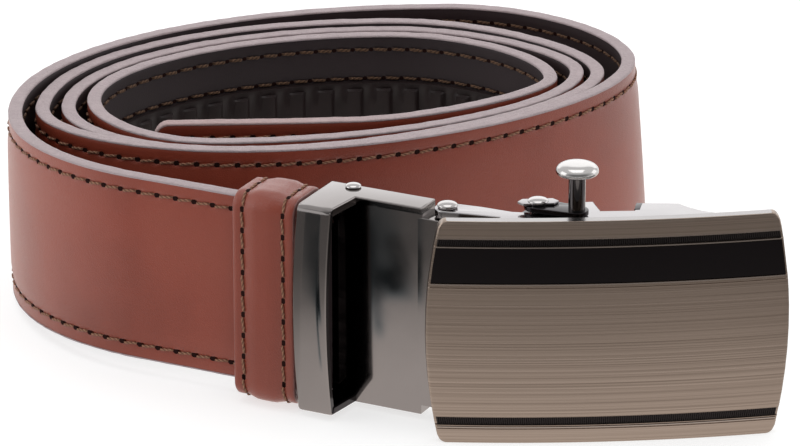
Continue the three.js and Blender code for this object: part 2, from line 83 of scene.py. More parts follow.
def makePiece(name, points, plan, faces, body, slot, finishes, uvs=None, replaces=(), sharp=38, index=None):
    # the faces are all turned round where the volume that they close comes out negative
    points = placed(points, plan).reshape(-1, 3)
    volume = 0.0
    for ring in faces:
        first = points[ring[:, 0]]
        for k in range(1, ring.shape[1] - 1):
            crossed = np.cross(points[ring[:, k]], points[ring[:, k + 1]])
            volume += np.einsum("ij,ij->", first, crossed)
    if volume < 0:
        faces = [ring[:, ::-1] for ring in faces]
        uvs = None if uvs is None else [corner[:, ::-1] for corner in uvs]
    mesh = meshFrom(name, points, faces)
    if index is not None:
        mesh.polygons.foreach_set("material_index", index.astype(np.int32))
    if uvs is not None:
        layer = mesh.uv_layers.new(name="place")
        layer.uv.foreach_set("vector", np.concatenate([c.reshape(-1) for c in uvs]).astype(np.float32))
    mesh.update(calc_edges=True)
    mesh.validate()
    return finishPiece(name, mesh, body, finishes, replaces, sharp)


def finishPiece(name, mesh, body, finishes, replaces=(), sharp=38):
    # smooth shading up to the sharp angle, then the piece rides on its body
    mesh.polygons.foreach_set("use_smooth", np.ones(len(mesh.polygons), bool))
    mesh.set_sharp_from_angle(angle=radians(sharp))
    for key in finishes:
        mesh.materials.append(finish[key])
    piece = bpy.data.objects.new(name, mesh)
    bpy.context.scene.collection.objects.link(piece)
    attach(piece, body)
    if replaces:
        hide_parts(*replaces)
    return piece


def gridCells(rows, cols, closeRows=False, closeCols=False):
    # row and column of the four corners of every cell, counted on past the seam where the grid closes
    r = np.arange(rows if closeRows else rows - 1)
    c = np.arange(cols if closeCols else cols - 1)
    i, j = np.meshgrid(r, c, indexing="ij")
    corners = (np.stack((i, i + 1, i + 1, i), -1), np.stack((j, j, j + 1, j + 1), -1))
    return corners[0].reshape(-1, 4), corners[1].reshape(-1, 4)


def gridFaces(points, uv=None, closeRows=False, closeCols=True, caps=True):
    # a grid of points as faces; caps close its first and last row with one flat face each
    rows, cols = points.shape[:2]
    i, j = gridCells(rows, cols, closeRows, closeCols)
    faces = [(i % rows) * cols + (j % cols)]
    uvs = None if uv is None else [uv[i, j]]
    if caps and not closeRows:
        ends = np.array([np.arange(cols)[::-1], np.arange(cols) + (rows - 1) * cols])
        faces.append(ends)
        if uvs is not None:
            uvs.append(uv[[0, -1]][:, :cols])
    return faces, uvs


def gridMap(along, across):
    # the map of a closed grid: how far along and how far across, with one column more than the grid has
    return np.stack(np.meshgrid(along, across, indexing="ij"), -1)


def gridPiece(name, points, plan, body, slot, finishes, uv=None, closeRows=False, **more):
    # a grid closed round its columns, with flat caps where its rows don't close too
    faces, uvs = gridFaces(points, uv, closeRows)
    return makePiece(name, points, plan, faces, body, slot, finishes, uvs, **more)


def tubeFaces(count, rings, sides):
    # faces of many equal tubes, each a run of rings with both ends closed
    i, j = gridCells(rings, sides, False, True)
    one = i * sides + (j % sides)
    start = np.arange(count)[:, None, None] * rings * sides
    walls = (one[None] + start).reshape(-1, 4)
    ends = np.array([np.arange(sides)[::-1], np.arange(sides) + (rings - 1) * sides])
    return [walls, (ends[None] + start).reshape(-1, sides)]


def turnedPiece(name, centre, rows, plan, body, key, replaces=(), sides=48, sharp=40):
    # rows of radius and height swept round an upright axis
    rows = np.array(rows, float)
    angle = np.linspace(0, 2 * pi, sides, endpoint=False)
    radius = np.maximum(rows[:, 0], 0.004)[:, None]
    points = np.stack((centre[0] + radius * np.cos(angle), centre[1] + radius * np.sin(angle),
                       np.repeat(rows[:, 1][:, None], sides, 1)), -1)
    return gridPiece(name, points, plan, body, "bright_metal", [key], replaces=replaces, sharp=sharp)


def outlineSolid(outline, low, high, edge, holes=()):
    # a flat outline raised from low to high, its arrises rounded over by edge
    curve = bpy.data.curves.new("outline", "CURVE")
    curve.dimensions = "2D"
    curve.fill_mode = "BOTH"
    for ring in (outline, *holes):
        ring = np.asarray(ring, float)
        spline = curve.splines.new("POLY")
        spline.points.add(len(ring) - 1)
        flat = np.column_stack((ring, np.zeros(len(ring)), np.ones(len(ring))))
        spline.points.foreach_set("co", flat.ravel())
        spline.use_cyclic_u = True
    curve.extrude = (high - low) / 2 - edge
    curve.bevel_depth = edge
    curve.bevel_resolution = 3
    curve.offset = -edge
    holder = bpy.data.objects.new("outline", curve)
    bpy.context.scene.collection.objects.link(holder)
    mesh = bpy.data.meshes.new_from_object(holder)
    bpy.data.objects.remove(holder)
    bpy.data.curves.remove(curve)
    work = bmesh.new()
    work.from_mesh(mesh)
    bmesh.ops.remove_doubles(work, verts=work.verts, dist=0.002)
    bmesh.ops.recalc_face_normals(work, faces=work.faces)
    bmesh.ops.translate(work, verts=work.verts, vec=(0, 0, (low + high) / 2))
    bpy.data.meshes.remove(mesh)
    return work


def joinedPiece(name, solids, plan, body, finishes, replaces=(), sharp=35):
    # several solids in one mesh, moved together from their plan into the row's frame
    mesh = bpy.data.meshes.new(name)
    whole = bmesh.new()
    for solid in solids:
        part = bpy.data.meshes.new("part")
        solid.to_mesh(part)
        solid.free()
        whole.from_mesh(part)
        bpy.data.meshes.remove(part)
    whole.to_mesh(mesh)
    whole.free()
    points = np.empty(len(mesh.vertices) * 3, np.float32)
    mesh.vertices.foreach_get("co", points)
    mesh.vertices.foreach_set("co", placed(points.reshape(-1, 3), plan).astype(np.float32).ravel())
    mesh.update()
    return finishPiece(name, mesh, body, finishes, replaces, sharp)


def arc(centre, radius, start, end, steps):
    # points on a circle from one angle to another, in degrees
    a = np.radians(np.linspace(start, end, steps))
    return np.column_stack((centre[0] + radius * np.cos(a), centre[1] + radius * np.sin(a)))


def smoothStep(t):
    # three t squared less two t cubed, held between nought and one
    t = np.clip(t, 0, 1)
    return t * t * (3 - 2 * t)


def startMaterial(name, color, roughness, metallic=0.0, specular=0.5, coat=0.0, coatRoughness=0.1):
    material = bpy.data.materials.new(name)
    material.use_nodes = True
    shader = material.node_tree.nodes["Principled BSDF"]
    shader.inputs["Base Color"].default_value = (*color, 1)
    shader.inputs["Roughness"].default_value = roughness
    shader.inputs["Metallic"].default_value = metallic
    shader.inputs["Specular IOR Level"].default_value = specular
    shader.inputs["Coat Weight"].default_value = coat
    shader.inputs["Coat Roughness"].default_value = coatRoughness
    return material, material.node_tree


def dress(material, **sockets):
    # each socket goes into the shader's input of that name
    tree = material.node_tree
    for key, socket in sockets.items():
        tree.links.new(socket, tree.nodes["Principled BSDF"].inputs[shaderInputs[key]])
    return material


shaderInputs = {"color": "Base Color", "gloss": "Roughness", "normal": "Normal", "coat": "Coat Normal"}


def addNode(tree, kind, settings=None, **inputs):
    # a node with its settings, and its inputs by name: a link where the value is a socket
    node = tree.nodes.new(kind)
    for key, value in (settings or {}).items():
        setattr(node, key, value)
    for key, value in inputs.items():
        socket = node.inputs[int(key[1:])] if key[0] == "i" and key[1:].isdigit() else node.inputs[key]
        if isinstance(value, bpy.types.NodeSocket):
            tree.links.new(value, socket)
        else:
            socket.default_value = value
    return node


def objectPlace(tree, scale=(1, 1, 1)):
    # the piece's own coordinates in metres, stretched by scale
    place = addNode(tree, "ShaderNodeTexCoord")
    return addNode(tree, "ShaderNodeMapping", Vector=place.outputs["Object"], Scale=scale).outputs[0]


def noise(tree, place, scale, detail=3.0, roughness=0.55):
    return addNode(tree, "ShaderNodeTexNoise", Vector=place, Scale=scale, Detail=detail,
                   Roughness=roughness).outputs["Fac"]


def ramp(tree, value, stops):
    # a value read off a colour ramp whose stops are (place, colour)
    node = addNode(tree, "ShaderNodeValToRGB", Fac=value)
    while len(node.color_ramp.elements) < len(stops):
        node.color_ramp.elements.new(0.5)
    for element, (where, color) in zip(node.color_ramp.elements, stops):
        element.position = where
        element.color = (*color, 1) if len(color) == 3 else color
    return node.outputs["Color"]


def scaled(color, factor):
    return tuple(min(value * factor, 1) for value in color)


def cells(tree, place, scale):
    # how far a point lies from the nearest edge of the grain cells
    return addNode(tree, "ShaderNodeTexVoronoi", {"feature": "DISTANCE_TO_EDGE"}, Vector=place,
                   Scale=scale).outputs["Distance"]


def ownMap(tree):
    # the piece's own map: X along it and Y across it
    uv = addNode(tree, "ShaderNodeUVMap", {"uv_map": "place"}).outputs["UV"]
    return addNode(tree, "ShaderNodeSeparateXYZ", Vector=uv).outputs


def remap(tree, value, fromLow, fromHigh, toLow, toHigh):
    node = addNode(tree, "ShaderNodeMapRange", Value=value)
    for key, number in (("From Min", fromLow), ("From Max", fromHigh), ("To Min", toLow), ("To Max", toHigh)):
        node.inputs[key].default_value = number
    return node.outputs["Result"]


def mixColor(tree, factor, first, second, blend="MIX"):
    node = addNode(tree, "ShaderNodeMix", {"data_type": "RGBA", "blend_type": blend})
    for socket, value in ((node.inputs[0], factor), (node.inputs[6], first), (node.inputs[7], second)):
        if isinstance(value, bpy.types.NodeSocket):
            tree.links.new(value, socket)
        else:
            socket.default_value = value if isinstance(value, float) else (*value, 1)
    return node.outputs[2]


def calc(tree, operation, a, b=0.0, c=0.0):
    return addNode(tree, "ShaderNodeMath", {"operation": operation}, i0=a, i1=b, i2=c).outputs[0]


def bump(tree, height, distance, strength=1.0, under=None):
    node = addNode(tree, "ShaderNodeBump", Height=height, Distance=distance, Strength=strength)
    if under is not None:
        tree.links.new(under, node.inputs["Normal"])
    return node.outputs["Normal"]


leatherLook = {
    "dark": (0.175, 0.026, 0.011),
    "middle": (0.262, 0.043, 0.02),
    "light": (0.3, 0.062, 0.033),
    "edge": (0.47, 0.36, 0.38),
    "roughness": 0.45,
    "coat": 0.7,
    "coatRoughness": 0.33,
    "grain": 0.00042,
    "grainDepth": 0.000035,
}


def leatherFinish(name, look, edgeAt=None):
    # browns that drift over the hide, fine grain cells with pores, and a paler painted edge
    material, tree = startMaterial(name, look["middle"], look["roughness"], specular=0.2,
                                   coat=look["coat"], coatRoughness=look["coatRoughness"])
    place = objectPlace(tree)
    drift = noise(tree, place, 26, 4)
    fine = noise(tree, place, 900, 3)
    color = ramp(tree, drift, [(0.25, look["dark"]), (0.5, look["middle"]), (0.8, look["light"])])
    color = mixColor(tree, calc(tree, "MULTIPLY", fine, 0.3), color, look["dark"])
    crease = remap(tree, cells(tree, place, 1 / look["grain"]), 0.0, 0.22, 0.0, 1.0)
    pores = remap(tree, noise(tree, place, 2600, 2), 0.3, 0.7, 0.0, 1.0)
    grain = calc(tree, "ADD", crease, calc(tree, "MULTIPLY", pores, 0.4))
    normal = bump(tree, grain, look["grainDepth"], 0.55)
    normal = bump(tree, noise(tree, place, 120, 3), 0.00012, 0.5, normal)
    if edgeAt is not None:
        away = calc(tree, "ABSOLUTE", calc(tree, "SUBTRACT", ownMap(tree)["Y"], edgeAt))
        worn = calc(tree, "ADD", away, calc(tree, "MULTIPLY", fine, 0.12))
        rim = remap(tree, worn, edgeAt - 0.1, edgeAt + 0.06, 0.0, 0.8)
        color = mixColor(tree, rim, color, look["edge"])
    gloss = remap(tree, drift, 0.3, 0.7, look["roughness"] - 0.04, look["roughness"] + 0.07)
    return dress(material, color=color, gloss=gloss, normal=normal, coat=normal)


def paintFinish(name, color, raw, rawFrom):
    # edge paint over cut fibres: speckled, matt, and worn to the raw pink near the tail's tip
    material, tree = startMaterial(name, color, 0.62, specular=0.4)
    place = objectPlace(tree)
    speck = noise(tree, place, 1500, 5, 0.7)
    blotch = noise(tree, place, 240, 3)
    tip = remap(tree, ownMap(tree)["X"], rawFrom, rawFrom + 30, 0.0, 1.0)
    base = mixColor(tree, tip, color, raw)
    base = mixColor(tree, remap(tree, speck, 0.35, 0.7, 0.0, 0.45), base, scaled(color, 0.62))
    base = mixColor(tree, remap(tree, blotch, 0.5, 0.8, 0.0, 0.35), base, scaled(color, 1.25))
    normal = bump(tree, blotch, 0.0004, 0.5, bump(tree, speck, 0.0003, 0.9))
    return dress(material, color=base, normal=normal)


def liningFinish(name, color):
    # near-black smooth lining with a faint cross grain
    material, tree = startMaterial(name, color, 0.6, specular=0.35)
    place = objectPlace(tree)
    drift = noise(tree, place, 60, 4)
    base = mixColor(tree, drift, scaled(color, 0.75), scaled(color, 1.35))
    normal = bump(tree, drift, 0.0002, 0.3, bump(tree, cells(tree, place, 1900.0), 0.00006, 0.5))
    return dress(material, color=base, normal=normal)


def threadFinish(name, light, dark):
    # two plies twisted together: a wave that runs round the strand as it runs along it
    material, tree = startMaterial(name, light, 0.75, specular=0.3)
    parts = ownMap(tree)
    turn = calc(tree, "ADD", calc(tree, "MULTIPLY", parts["X"], 5.2),
                calc(tree, "MULTIPLY", parts["Y"], 2 * pi * 2))
    wave = remap(tree, calc(tree, "SINE", turn), -1.0, 1.0, 0.0, 1.0)
    ply = calc(tree, "ADD", wave, noise(tree, objectPlace(tree), 5200, 2))
    base = mixColor(tree, remap(tree, ply, 0.3, 1.4, 0.0, 1.0), dark, light)
    return dress(material, color=base, normal=bump(tree, ply, 0.0001, 0.9))


def polishedFinish(name, color, roughness=0.09, smudge=0.06):
    # polished plating: faint long ripples and smudges that change only the gloss
    material, tree = startMaterial(name, color, roughness, metallic=1.0)
    place = objectPlace(tree)
    smear = noise(tree, place, 170, 4)
    gloss = remap(tree, smear, 0.35, 0.75, roughness, roughness + smudge)
    base = mixColor(tree, remap(tree, smear, 0.3, 0.8, 0.0, 0.25), color, scaled(color, 0.8))
    normal = bump(tree, noise(tree, place, 75, 2), 0.00025, 0.12)
    return dress(material, color=base, gloss=gloss, normal=normal)


def brushedFinish(name, look):
    # long level scratches: noise stretched a hundredfold along the plate, in colour, gloss and height
    material, tree = startMaterial(name, look["middle"], look["roughness"], metallic=1.0)
    broad = noise(tree, objectPlace(tree, (1.5, 1.5, 2300)), 1.0, 2, 0.6)
    fine = noise(tree, objectPlace(tree, (14, 14, 6800)), 1.0, 2, 0.6)
    lines = calc(tree, "ADD", calc(tree, "MULTIPLY", broad, 0.6), calc(tree, "MULTIPLY", fine, 0.4))
    color = ramp(tree, lines, [(0.34, look["dark"]), (0.5, look["middle"]), (0.66, look["light"])])
    gloss = remap(tree, lines, 0.35, 0.65, look["roughness"] + 0.08, look["roughness"] - 0.04)
    return dress(material, color=color, gloss=gloss, normal=bump(tree, lines, 0.00004, 0.6))


def trackFinish(name, color, dark, light):
    # dull plastic, a little clouded
    material, tree = startMaterial(name, color, 0.5, specular=0.3)
    cloud = noise(tree, objectPlace(tree), 300, 3)
    return dress(material, color=mixColor(tree, cloud, dark, light), normal=bump(tree, cloud, 0.0001, 0.4))


keeperLook = {**leatherLook, "light": (0.275, 0.058, 0.033), "middle": (0.228, 0.038, 0.018),
              "edge": (0.3, 0.17, 0.16)}
plateLook = {"dark": (0.205, 0.16, 0.13), "middle": (0.3, 0.24, 0.2), "light": (0.37, 0.3, 0.255),
             "roughness": 0.3}
finish = {
    "leather": leatherFinish("leather", leatherLook),
    "keeper": leatherFinish("keeper leather", keeperLook, 6.0),
    "paint": paintFinish("edge paint", (0.41, 0.33, 0.34), (0.42, 0.29, 0.28), 1100.0),
    "lining": liningFinish("lining", (0.028, 0.018, 0.02)),
    "thread": threadFinish("thread", (0.3, 0.15, 0.09), (0.11, 0.045, 0.028)),
    # painted shade: the near-black of the needle holes
    "hole": startMaterial("needle hole shade", (0.016, 0.005, 0.004), 0.9, specular=0.1)[0],
    "track": trackFinish("track", (0.02, 0.014, 0.014), (0.01, 0.006, 0.006), (0.024, 0.013, 0.013)),
    "gunmetal": polishedFinish("gunmetal", (0.235, 0.215, 0.21), 0.07, 0.05),
    # dark gunmetal: painted shade in the clamp's mouth, on the lug below the wall and at the tab's end; also
    # the lever's link
    "gunmetalDark": polishedFinish("gunmetal shade", (0.03, 0.026, 0.028), 0.1, 0.05),
    "frame": polishedFinish("frame gunmetal", (0.33, 0.315, 0.32), 0.12, 0.06),
    "rivet": polishedFinish("rivet", (0.46, 0.44, 0.435), 0.1, 0.05),
    "stem": polishedFinish("dark stem", (0.13, 0.12, 0.12), 0.07, 0.03),
    "rim": polishedFinish("plate rim", (0.3, 0.285, 0.285), 0.2, 0.06),
    "threadDull": threadFinish("lining thread", (0.15, 0.08, 0.045), (0.05, 0.026, 0.016)),
    "chrome": polishedFinish("chrome", (0.5, 0.485, 0.475), 0.13, 0.04),
    "plate": brushedFinish("brushed plate", plateLook),
    "band": startMaterial("black enamel", (0.003, 0.0015, 0.002), 0.08, specular=0.2)[0],
    "groove": startMaterial("milled groove", (0.03, 0.026, 0.026), 0.35, metallic=1.0)[0],
    # paler and glossier than the plate: painted highlight on the raised lines beside the grooves
    "ridge": polishedFinish("ridge", (0.36, 0.31, 0.28), 0.18, 0.05),
}
print("finishes made")


# the strap, on the coil's plan
strap = {
    "width": 35.0,
    "leather": 1.52,
    "lining": 0.98,
    "gap": 0.03,
    "pitch": 3.75,
    "seamIn": 2.8,
    "crown": 0.36,
    "groove": 0.12,
    "holeDepth": 0.5,
    "tipCorner": 3.0,
    "start": (13.8, -11.3),
    "inClamp": 3.4,
    "face": 4.05,
    "runYaw": 26.5,
    "runLength": 38.4,
    "runLift": 3.1,
    "paintedShadeEnd": 3.6,
}
strapThick = strap["leather"] + strap["gap"] + strap["lining"]
# the places where the coil's upper outer rim runs along x or y, from the outer turn to the tail's tip
bends = [
    {"way": (0, 1), "x": -41.0, "y": 49.3, "handle": 0.602, "lift": 1.9, "lean": 0.0},
    {"way": (1, 0), "x": 41.2, "y": 112.9, "handle": 0.545, "lift": 0.9, "lean": 0.6},
    {"way": (0, -1), "x": 76.8, "y": 79.5, "handle": 0.503, "lift": 0.9, "lean": 2.6},
    {"way": (-1, 0), "x": 2.2, "y": 26.6, "handle": 0.463, "lift": 1.2, "lean": 0.8},
    {"way": (0, 1), "x": -36.2, "y": 52.2, "handle": 0.54, "lift": 0.9, "lean": 0.0},
    {"way": (1, 0), "x": 30.7, "y": 105.0, "handle": 0.558, "lift": 0.5, "lean": 0.0},
    {"way": (0, -1), "x": 70.7, "y": 74.1, "handle": 0.458, "lift": 0.2, "lean": 0.0},
    {"way": (-1, 0), "x": 1.8, "y": 30.05, "handle": 0.44, "lift": 0.0, "lean": 0.0},
    {"way": (0, 1), "x": -31.6, "y": 56.1, "handle": 0.572, "lift": 0.0, "lean": 0.0},
    {"way": (1, 0), "x": 30.3, "y": 101.6, "handle": 0.542, "lift": 0.0, "lean": 0.0},
    {"way": (0, -1), "x": 66.8, "y": 74.9, "handle": 0.448, "lift": 0.0, "lean": 0.0},
    {"way": (-1, 0), "x": -2.3, "y": 34.4, "handle": 0.487, "lift": 0.0, "lean": 0.0},
    {"way": (0, 1), "x": -27.0, "y": 59.7, "handle": 0.521, "lift": 0.0, "lean": 0.0},
    {"way": (1, 0), "x": 29.9, "y": 98.2, "handle": 0.521, "lift": 0.0, "lean": 0.0},
    {"way": (0, -1), "x": 61.7, "y": 71.3, "handle": 0.491, "lift": 0.0, "lean": 0.0},
    {"way": (-0.994, -0.11), "x": 24.0, "y": 46.3, "handle": 0.413, "lift": 0.0, "lean": 0.0},
    {"way": (-1, 0), "x": -13.9, "y": 44.3, "handle": 0.4, "lift": 0.0, "lean": 0.0},
]


def strapLine():
    # the strap's upper outer rim from above: a straight run, then a cubic curve to each bend's outermost
    # point, its handles a share of the way to the corner where the two tangents meet
    steps = 60
    yaw = radians(strap["runYaw"])
    ahead = np.array((-cos(yaw), sin(yaw)))
    back = np.array((sin(yaw), cos(yaw)))
    at = np.array(strap["start"]) - ahead * strap["inClamp"] + back * strap["face"]
    t = np.linspace(0, 1, steps, endpoint=False)[:, None]
    level = np.full(steps, strap["runLift"])
    runs = [np.column_stack((at + ahead * strap["runLength"] * t, level, np.zeros(steps)))]
    at = at + ahead * strap["runLength"]
    way, lift, lean = ahead, strap["runLift"], 0.0
    for bend in bends:
        to = np.array((bend["x"], bend["y"]))
        toWay = np.array(bend["way"], float)
        gap = to - at
        turn = way[0] * toWay[1] - way[1] * toWay[0]
        reach = np.full(2, np.hypot(*gap))
        if abs(turn) > 0.01:
            reach = np.array((gap[0] * toWay[1] - gap[1] * toWay[0],
                              way[0] * gap[1] - way[1] * gap[0])) / turn
        b = at + way * reach[0] * bend["handle"]
        c = to - toWay * reach[1] * bend["handle"]
        curve = at * (1 - t) ** 3 + 3 * b * t * (1 - t) ** 2 + 3 * c * t ** 2 * (1 - t) + to * t ** 3
        ease = smoothStep(t)
        runs.append(np.column_stack((curve, lift + (bend["lift"] - lift) * ease,
                                     lean + (bend["lean"] - lean) * ease)))
        at, way, lift, lean = to, toWay, bend["lift"], bend["lean"]
    runs.append(np.array([[*at, lift, lean]]))
    line = np.concatenate(runs)
    length = np.concatenate(([0], np.cumsum(np.hypot(*np.diff(line[:, :2], axis=0).T))))
    ahead = np.gradient(line[:, :2], length, axis=0)
    ahead /= np.linalg.norm(ahead, axis=1)[:, None]
    return length, np.column_stack((line, ahead))


lineLength, lineRows = strapLine()
strapLong = lineLength[-1]


def strapPoint(along, out, up):
    # the rim at a length along the strap, then out from the face and up its width, leaning out at the foot
    x, y, lift, lean, ax, ay = (np.interp(along, lineLength, lineRows[:, k]) for k in range(6))
    size = np.hypot(ax, ay)
    reach = out + lean * (1 - up / strap["width"])
    return np.stack((x - ay / size * reach, y + ax / size * reach, lift + up), -1)


def tipInset(along):
    # how much the tail's rounded corners take off each edge
    into = np.clip(strap["tipCorner"] - (strapLong - along), 0, None)
    return strap["tipCorner"] - np.sqrt(np.maximum(strap["tipCorner"] ** 2 - into ** 2, 0.04))


def faceOut(up):
    # the leather's face across its width: flat margins, a sunk seam and a padded field between the seams
    near = np.minimum(up, strap["width"] - up)
    field = smoothStep((near - strap["seamIn"] - 0.2) / 3.2) * (0.8 + 0.2 * smoothStep(near / 17.5))
    arris = -0.3 * np.clip(1 - near / 0.5, 0, 1) ** 2
    seam = -strap["groove"] * np.exp(-((near - strap["seamIn"]) / 0.45) ** 2)
    return 0.02 + (strap["crown"] - 0.04) * field + arris + seam


def buildStrap():
    # the leather: its face's profile and its flat back, carried along the rim, a dent at every stitch's hole
    steps = int(round(strapLong / (strap["pitch"] / 6)))
    along = np.linspace(0, strapLong, steps + 1)
    width = strap["width"]
    half = np.array((0.06, 0.2, 0.5, 1.1, 1.8, 2.3, strap["seamIn"], 3.3, 3.9, 4.6, 5.6, 7.2, 10, 13.6))
    face = np.concatenate((half, [width / 2], width - half[::-1]))
    back = np.array((width - 0.1, width - 1.2, width / 2, 1.2, 0.1))
    up = np.concatenate((face, back))
    out = np.concatenate((faceOut(face), np.full(len(back), -strap["leather"] + 0.02)))
    out[[len(face), -1]] += 0.1
    inset = tipInset(along)[:, None]
    high = inset + up[None] * (1 - 2 * inset / width)
    depth = np.repeat(out[None], len(along), 0)
    seamRows = np.isclose(np.minimum(up, width - up), strap["seamIn"])
    everySixth = np.arange(len(along)) % 6
    sunk = np.where(everySixth == 0, 1.0, np.where((everySixth == 1) | (everySixth == 5), 0.2, 0.0))
    depth = depth - strap["holeDepth"] * sunk[:, None] * seamRows[None]
    # painted shade: the end inside the clamp takes the dark lining finish for the shade in the clamp
    rowOf = np.repeat(np.arange(steps), len(up))
    index = np.concatenate(((along[rowOf] < strap["paintedShadeEnd"]).astype(int), [1, 0]))
    uv = gridMap(along, np.append(up, up[0]))
    gridPiece("strap_face", strapPoint(along[:, None], depth, high), "coil", "strap", "leather",
              ["leather", "lining"], uv, replaces=["strap_leather"], sharp=60, index=index)

    # the lining: a thin slab whose back is pressed in a little along each of its seams
    along = np.linspace(0, strapLong, steps // 2 + 1)
    front = -strap["leather"] - strap["gap"]
    rear = front - strap["lining"]
    into, half = np.array([(0.35, 0.25), (0.08, 0.4), (0, 0.8), (0, 2.1), (0.1, strap["seamIn"]), (0, 3.5),
                           (0, 8.0), (0.1, track["seamLow"]), (0, 9.3)]).T
    out = np.concatenate(([front, front], rear + into, [rear], rear + into[::-1]))
    up = np.concatenate(([0.3, width - 0.3], width - half, [width / 2], half[::-1]))
    inset = tipInset(along)[:, None]
    high = inset + up[None] * (1 - 2 * inset / width)
    gridPiece("strap_back", strapPoint(along[:, None], np.repeat(out[None], len(along), 0), high), "coil",
              "strap", "lining", ["lining"], replaces=["strap_lining"], sharp=50)


def rimPath(inset, step):
    # along the top edge, round the tail's end and home along the lower one, that far inside the edge:
    # length along the strap, height, and the two shares of the way out of the strap's own plane figure
    corner = strap["tipCorner"] - inset
    end = strapLong - inset
    high = strap["width"] - inset
    lengths = np.array((end - corner, corner * pi / 2, high - inset - 2 * corner, corner * pi / 2,
                        end - corner))
    total = lengths.sum()
    l = np.linspace(0, total, int(round(total / step)) + 1)
    ends = np.cumsum(lengths)
    a1 = np.clip((l - ends[0]) / corner, 0, pi / 2)
    a2 = np.clip((l - ends[2]) / corner, 0, pi / 2)
    angle = pi / 2 - a1 - a2
    going, coming = l < ends[0], l > ends[3]
    homeward = end - corner - (l - ends[3])
    along = np.where(going, l, np.where(coming, homeward, end - corner + corner * np.cos(angle)))
    drop = np.clip(l - ends[1], 0, lengths[2])
    turning = high - corner + corner * np.sin(angle) - drop
    up = np.where(going, high, np.where(coming, inset, turning))
    return l, along, up, np.cos(angle), np.sin(angle)


def roughWalk(count, seed, smooth):
    # seeded noise smoothed by a running mean, about one at its largest
    values = np.random.default_rng(seed).standard_normal(count + smooth * 2)
    kernel = np.hanning(smooth * 2 + 1)
    soft = np.convolve(values, kernel / kernel.sum(), mode="same")[smooth:-smooth]
    return soft / np.abs(soft).max()


def buildEdges():
    # the paint lies over both plies' cut edge as a low bead, uneven like a knife cut
    l, along, up, ns, nu = rimPath(0.0, 0.8)
    drawnThick = 2.53
    bead = np.array([(0.03, -0.32), (0.03, -0.16), (-0.05, -0.02), (-0.28, 0.03), (-0.7, 0.045), (-1.2, 0.03),
                     (-1.75, 0.045), (-2.2, 0.03), (-2.48, -0.03), (-2.58, -0.17), (-2.57, -0.32),
                     (-2.44, -0.32), (-2.3, -0.14), (-1.26, -0.1), (-0.24, -0.14), (-0.1, -0.32)])
    bead[:, 0] *= strapThick / drawnThick
    wave = roughWalk(len(l), 5, 2)[:, None] * 0.08 + roughWalk(len(l), 6, 12)[:, None] * 0.04
    top = (bead[:, 1] > -0.1)[None]
    rise = np.minimum(bead[None, :, 1] + wave * top, 0.09)
    rise = np.where((nu < -0.5)[:, None], np.minimum(rise, 0.0), rise)
    side = bead[None, :, 0] + roughWalk(len(l), 9, 2)[:, None] * 0.06 * (bead[None, :, 0] > -0.5)
    points = strapPoint(along[:, None] + ns[:, None] * rise, side, up[:, None] + nu[:, None] * rise)
    uv = gridMap(along, np.arange(len(bead) + 1))
    gridPiece("edge_paint", points, "coil", "strap", "leather", ["paint"], uv, sharp=70)


def makeSeam(name, l, at, out, side, plan, holes, thread):
    # a strand from each needle hole to the next: it climbs out, lies a little askew and dives again;
    # its section is an ellipse with two lobes that turn as they go, and every hole gets a dark eye of painted
    # shade
    def read(where):
        return [np.stack([np.interp(where, l, rows[:, k]) for k in range(3)], -1) for rows in (at, out, side)]

    rings, sides = thread["rings"], thread["sides"]
    t = np.linspace(0, 1, rings)
    start = holes[:-1]
    middle, outward, across = read(start[:, None] + np.diff(holes)[:, None] * (0.08 + 0.84 * t)[None])
    climb = np.clip(np.sin(pi * t) * 3.2, 0, 1)
    lift = thread["lift"] * climb - thread["dive"] * (1 - climb)
    askew = thread["slant"] * (0.5 - t)
    angle = np.linspace(0, 2 * pi, sides, endpoint=False)
    lobes = 1 + thread["lobe"] * np.cos(2 * (angle[None] - thread["twist"] * t[:, None] * pi))
    slim = 0.45 + 0.55 * np.clip(np.sin(pi * t) * 2.4, 0, 1)
    wide = thread["wide"] * slim[:, None] * lobes * np.cos(angle)[None] + askew[:, None]
    tall = thread["tall"] * slim[:, None] * lobes * np.sin(angle)[None] + lift[:, None]
    points = (middle[:, :, None] + across[:, :, None] * wide[None, :, :, None]
              + outward[:, :, None] * tall[None, :, :, None])
    i, j = gridCells(rings, sides, False, True)
    uvs = [np.tile(np.stack((t[i] * 3.9, j / sides), -1), (len(start), 1, 1)),
           np.zeros((2 * len(start), sides, 2))]
    makePiece(name, points, plan, tubeFaces(len(start), rings, sides), "strap", "leather",
              [thread["finish"]], uvs, sharp=80)

    # painted shade: a near-black ring sunk into every hole
    middle, outward, across = read(holes)
    ahead = np.cross(outward, across)
    angle = np.linspace(0, 2 * pi, 9, endpoint=False)
    ring = (ahead[:, None] * (thread["eye"] * np.cos(angle))[None, :, None]
            + across[:, None] * (thread["eyeAcross"] * np.sin(angle))[None, :, None])
    top = middle[:, None] + ring + outward[:, None] * thread["eyeLift"]
    low = middle[:, None] + ring * 0.8 - outward[:, None] * 0.1
    makePiece(name + "_hole_shade", np.stack((top, low), 1), plan, tubeFaces(len(holes), 2, 9), "strap", "leather",
              ["hole"], sharp=30)


outerThread = {
    "finish": "thread",
    "rings": 9,
    "sides": 8,
    "wide": 0.25,
    "tall": 0.2,
    "lift": 0.14,
    "dive": 0.3,
    "slant": 0.4,
    "lobe": 0.16,
    "twist": 2.6,
    "eye": 0.56,
    "eyeAcross": 0.52,
    "eyeLift": 0.035,
}
innerThread = {**outerThread, "finish": "threadDull", "rings": 8, "sides": 6, "wide": 0.3, "tall": 0.22,
               "slant": 0.2, "eye": 0.45, "eyeAcross": 0.4, "eyeLift": 0.01}


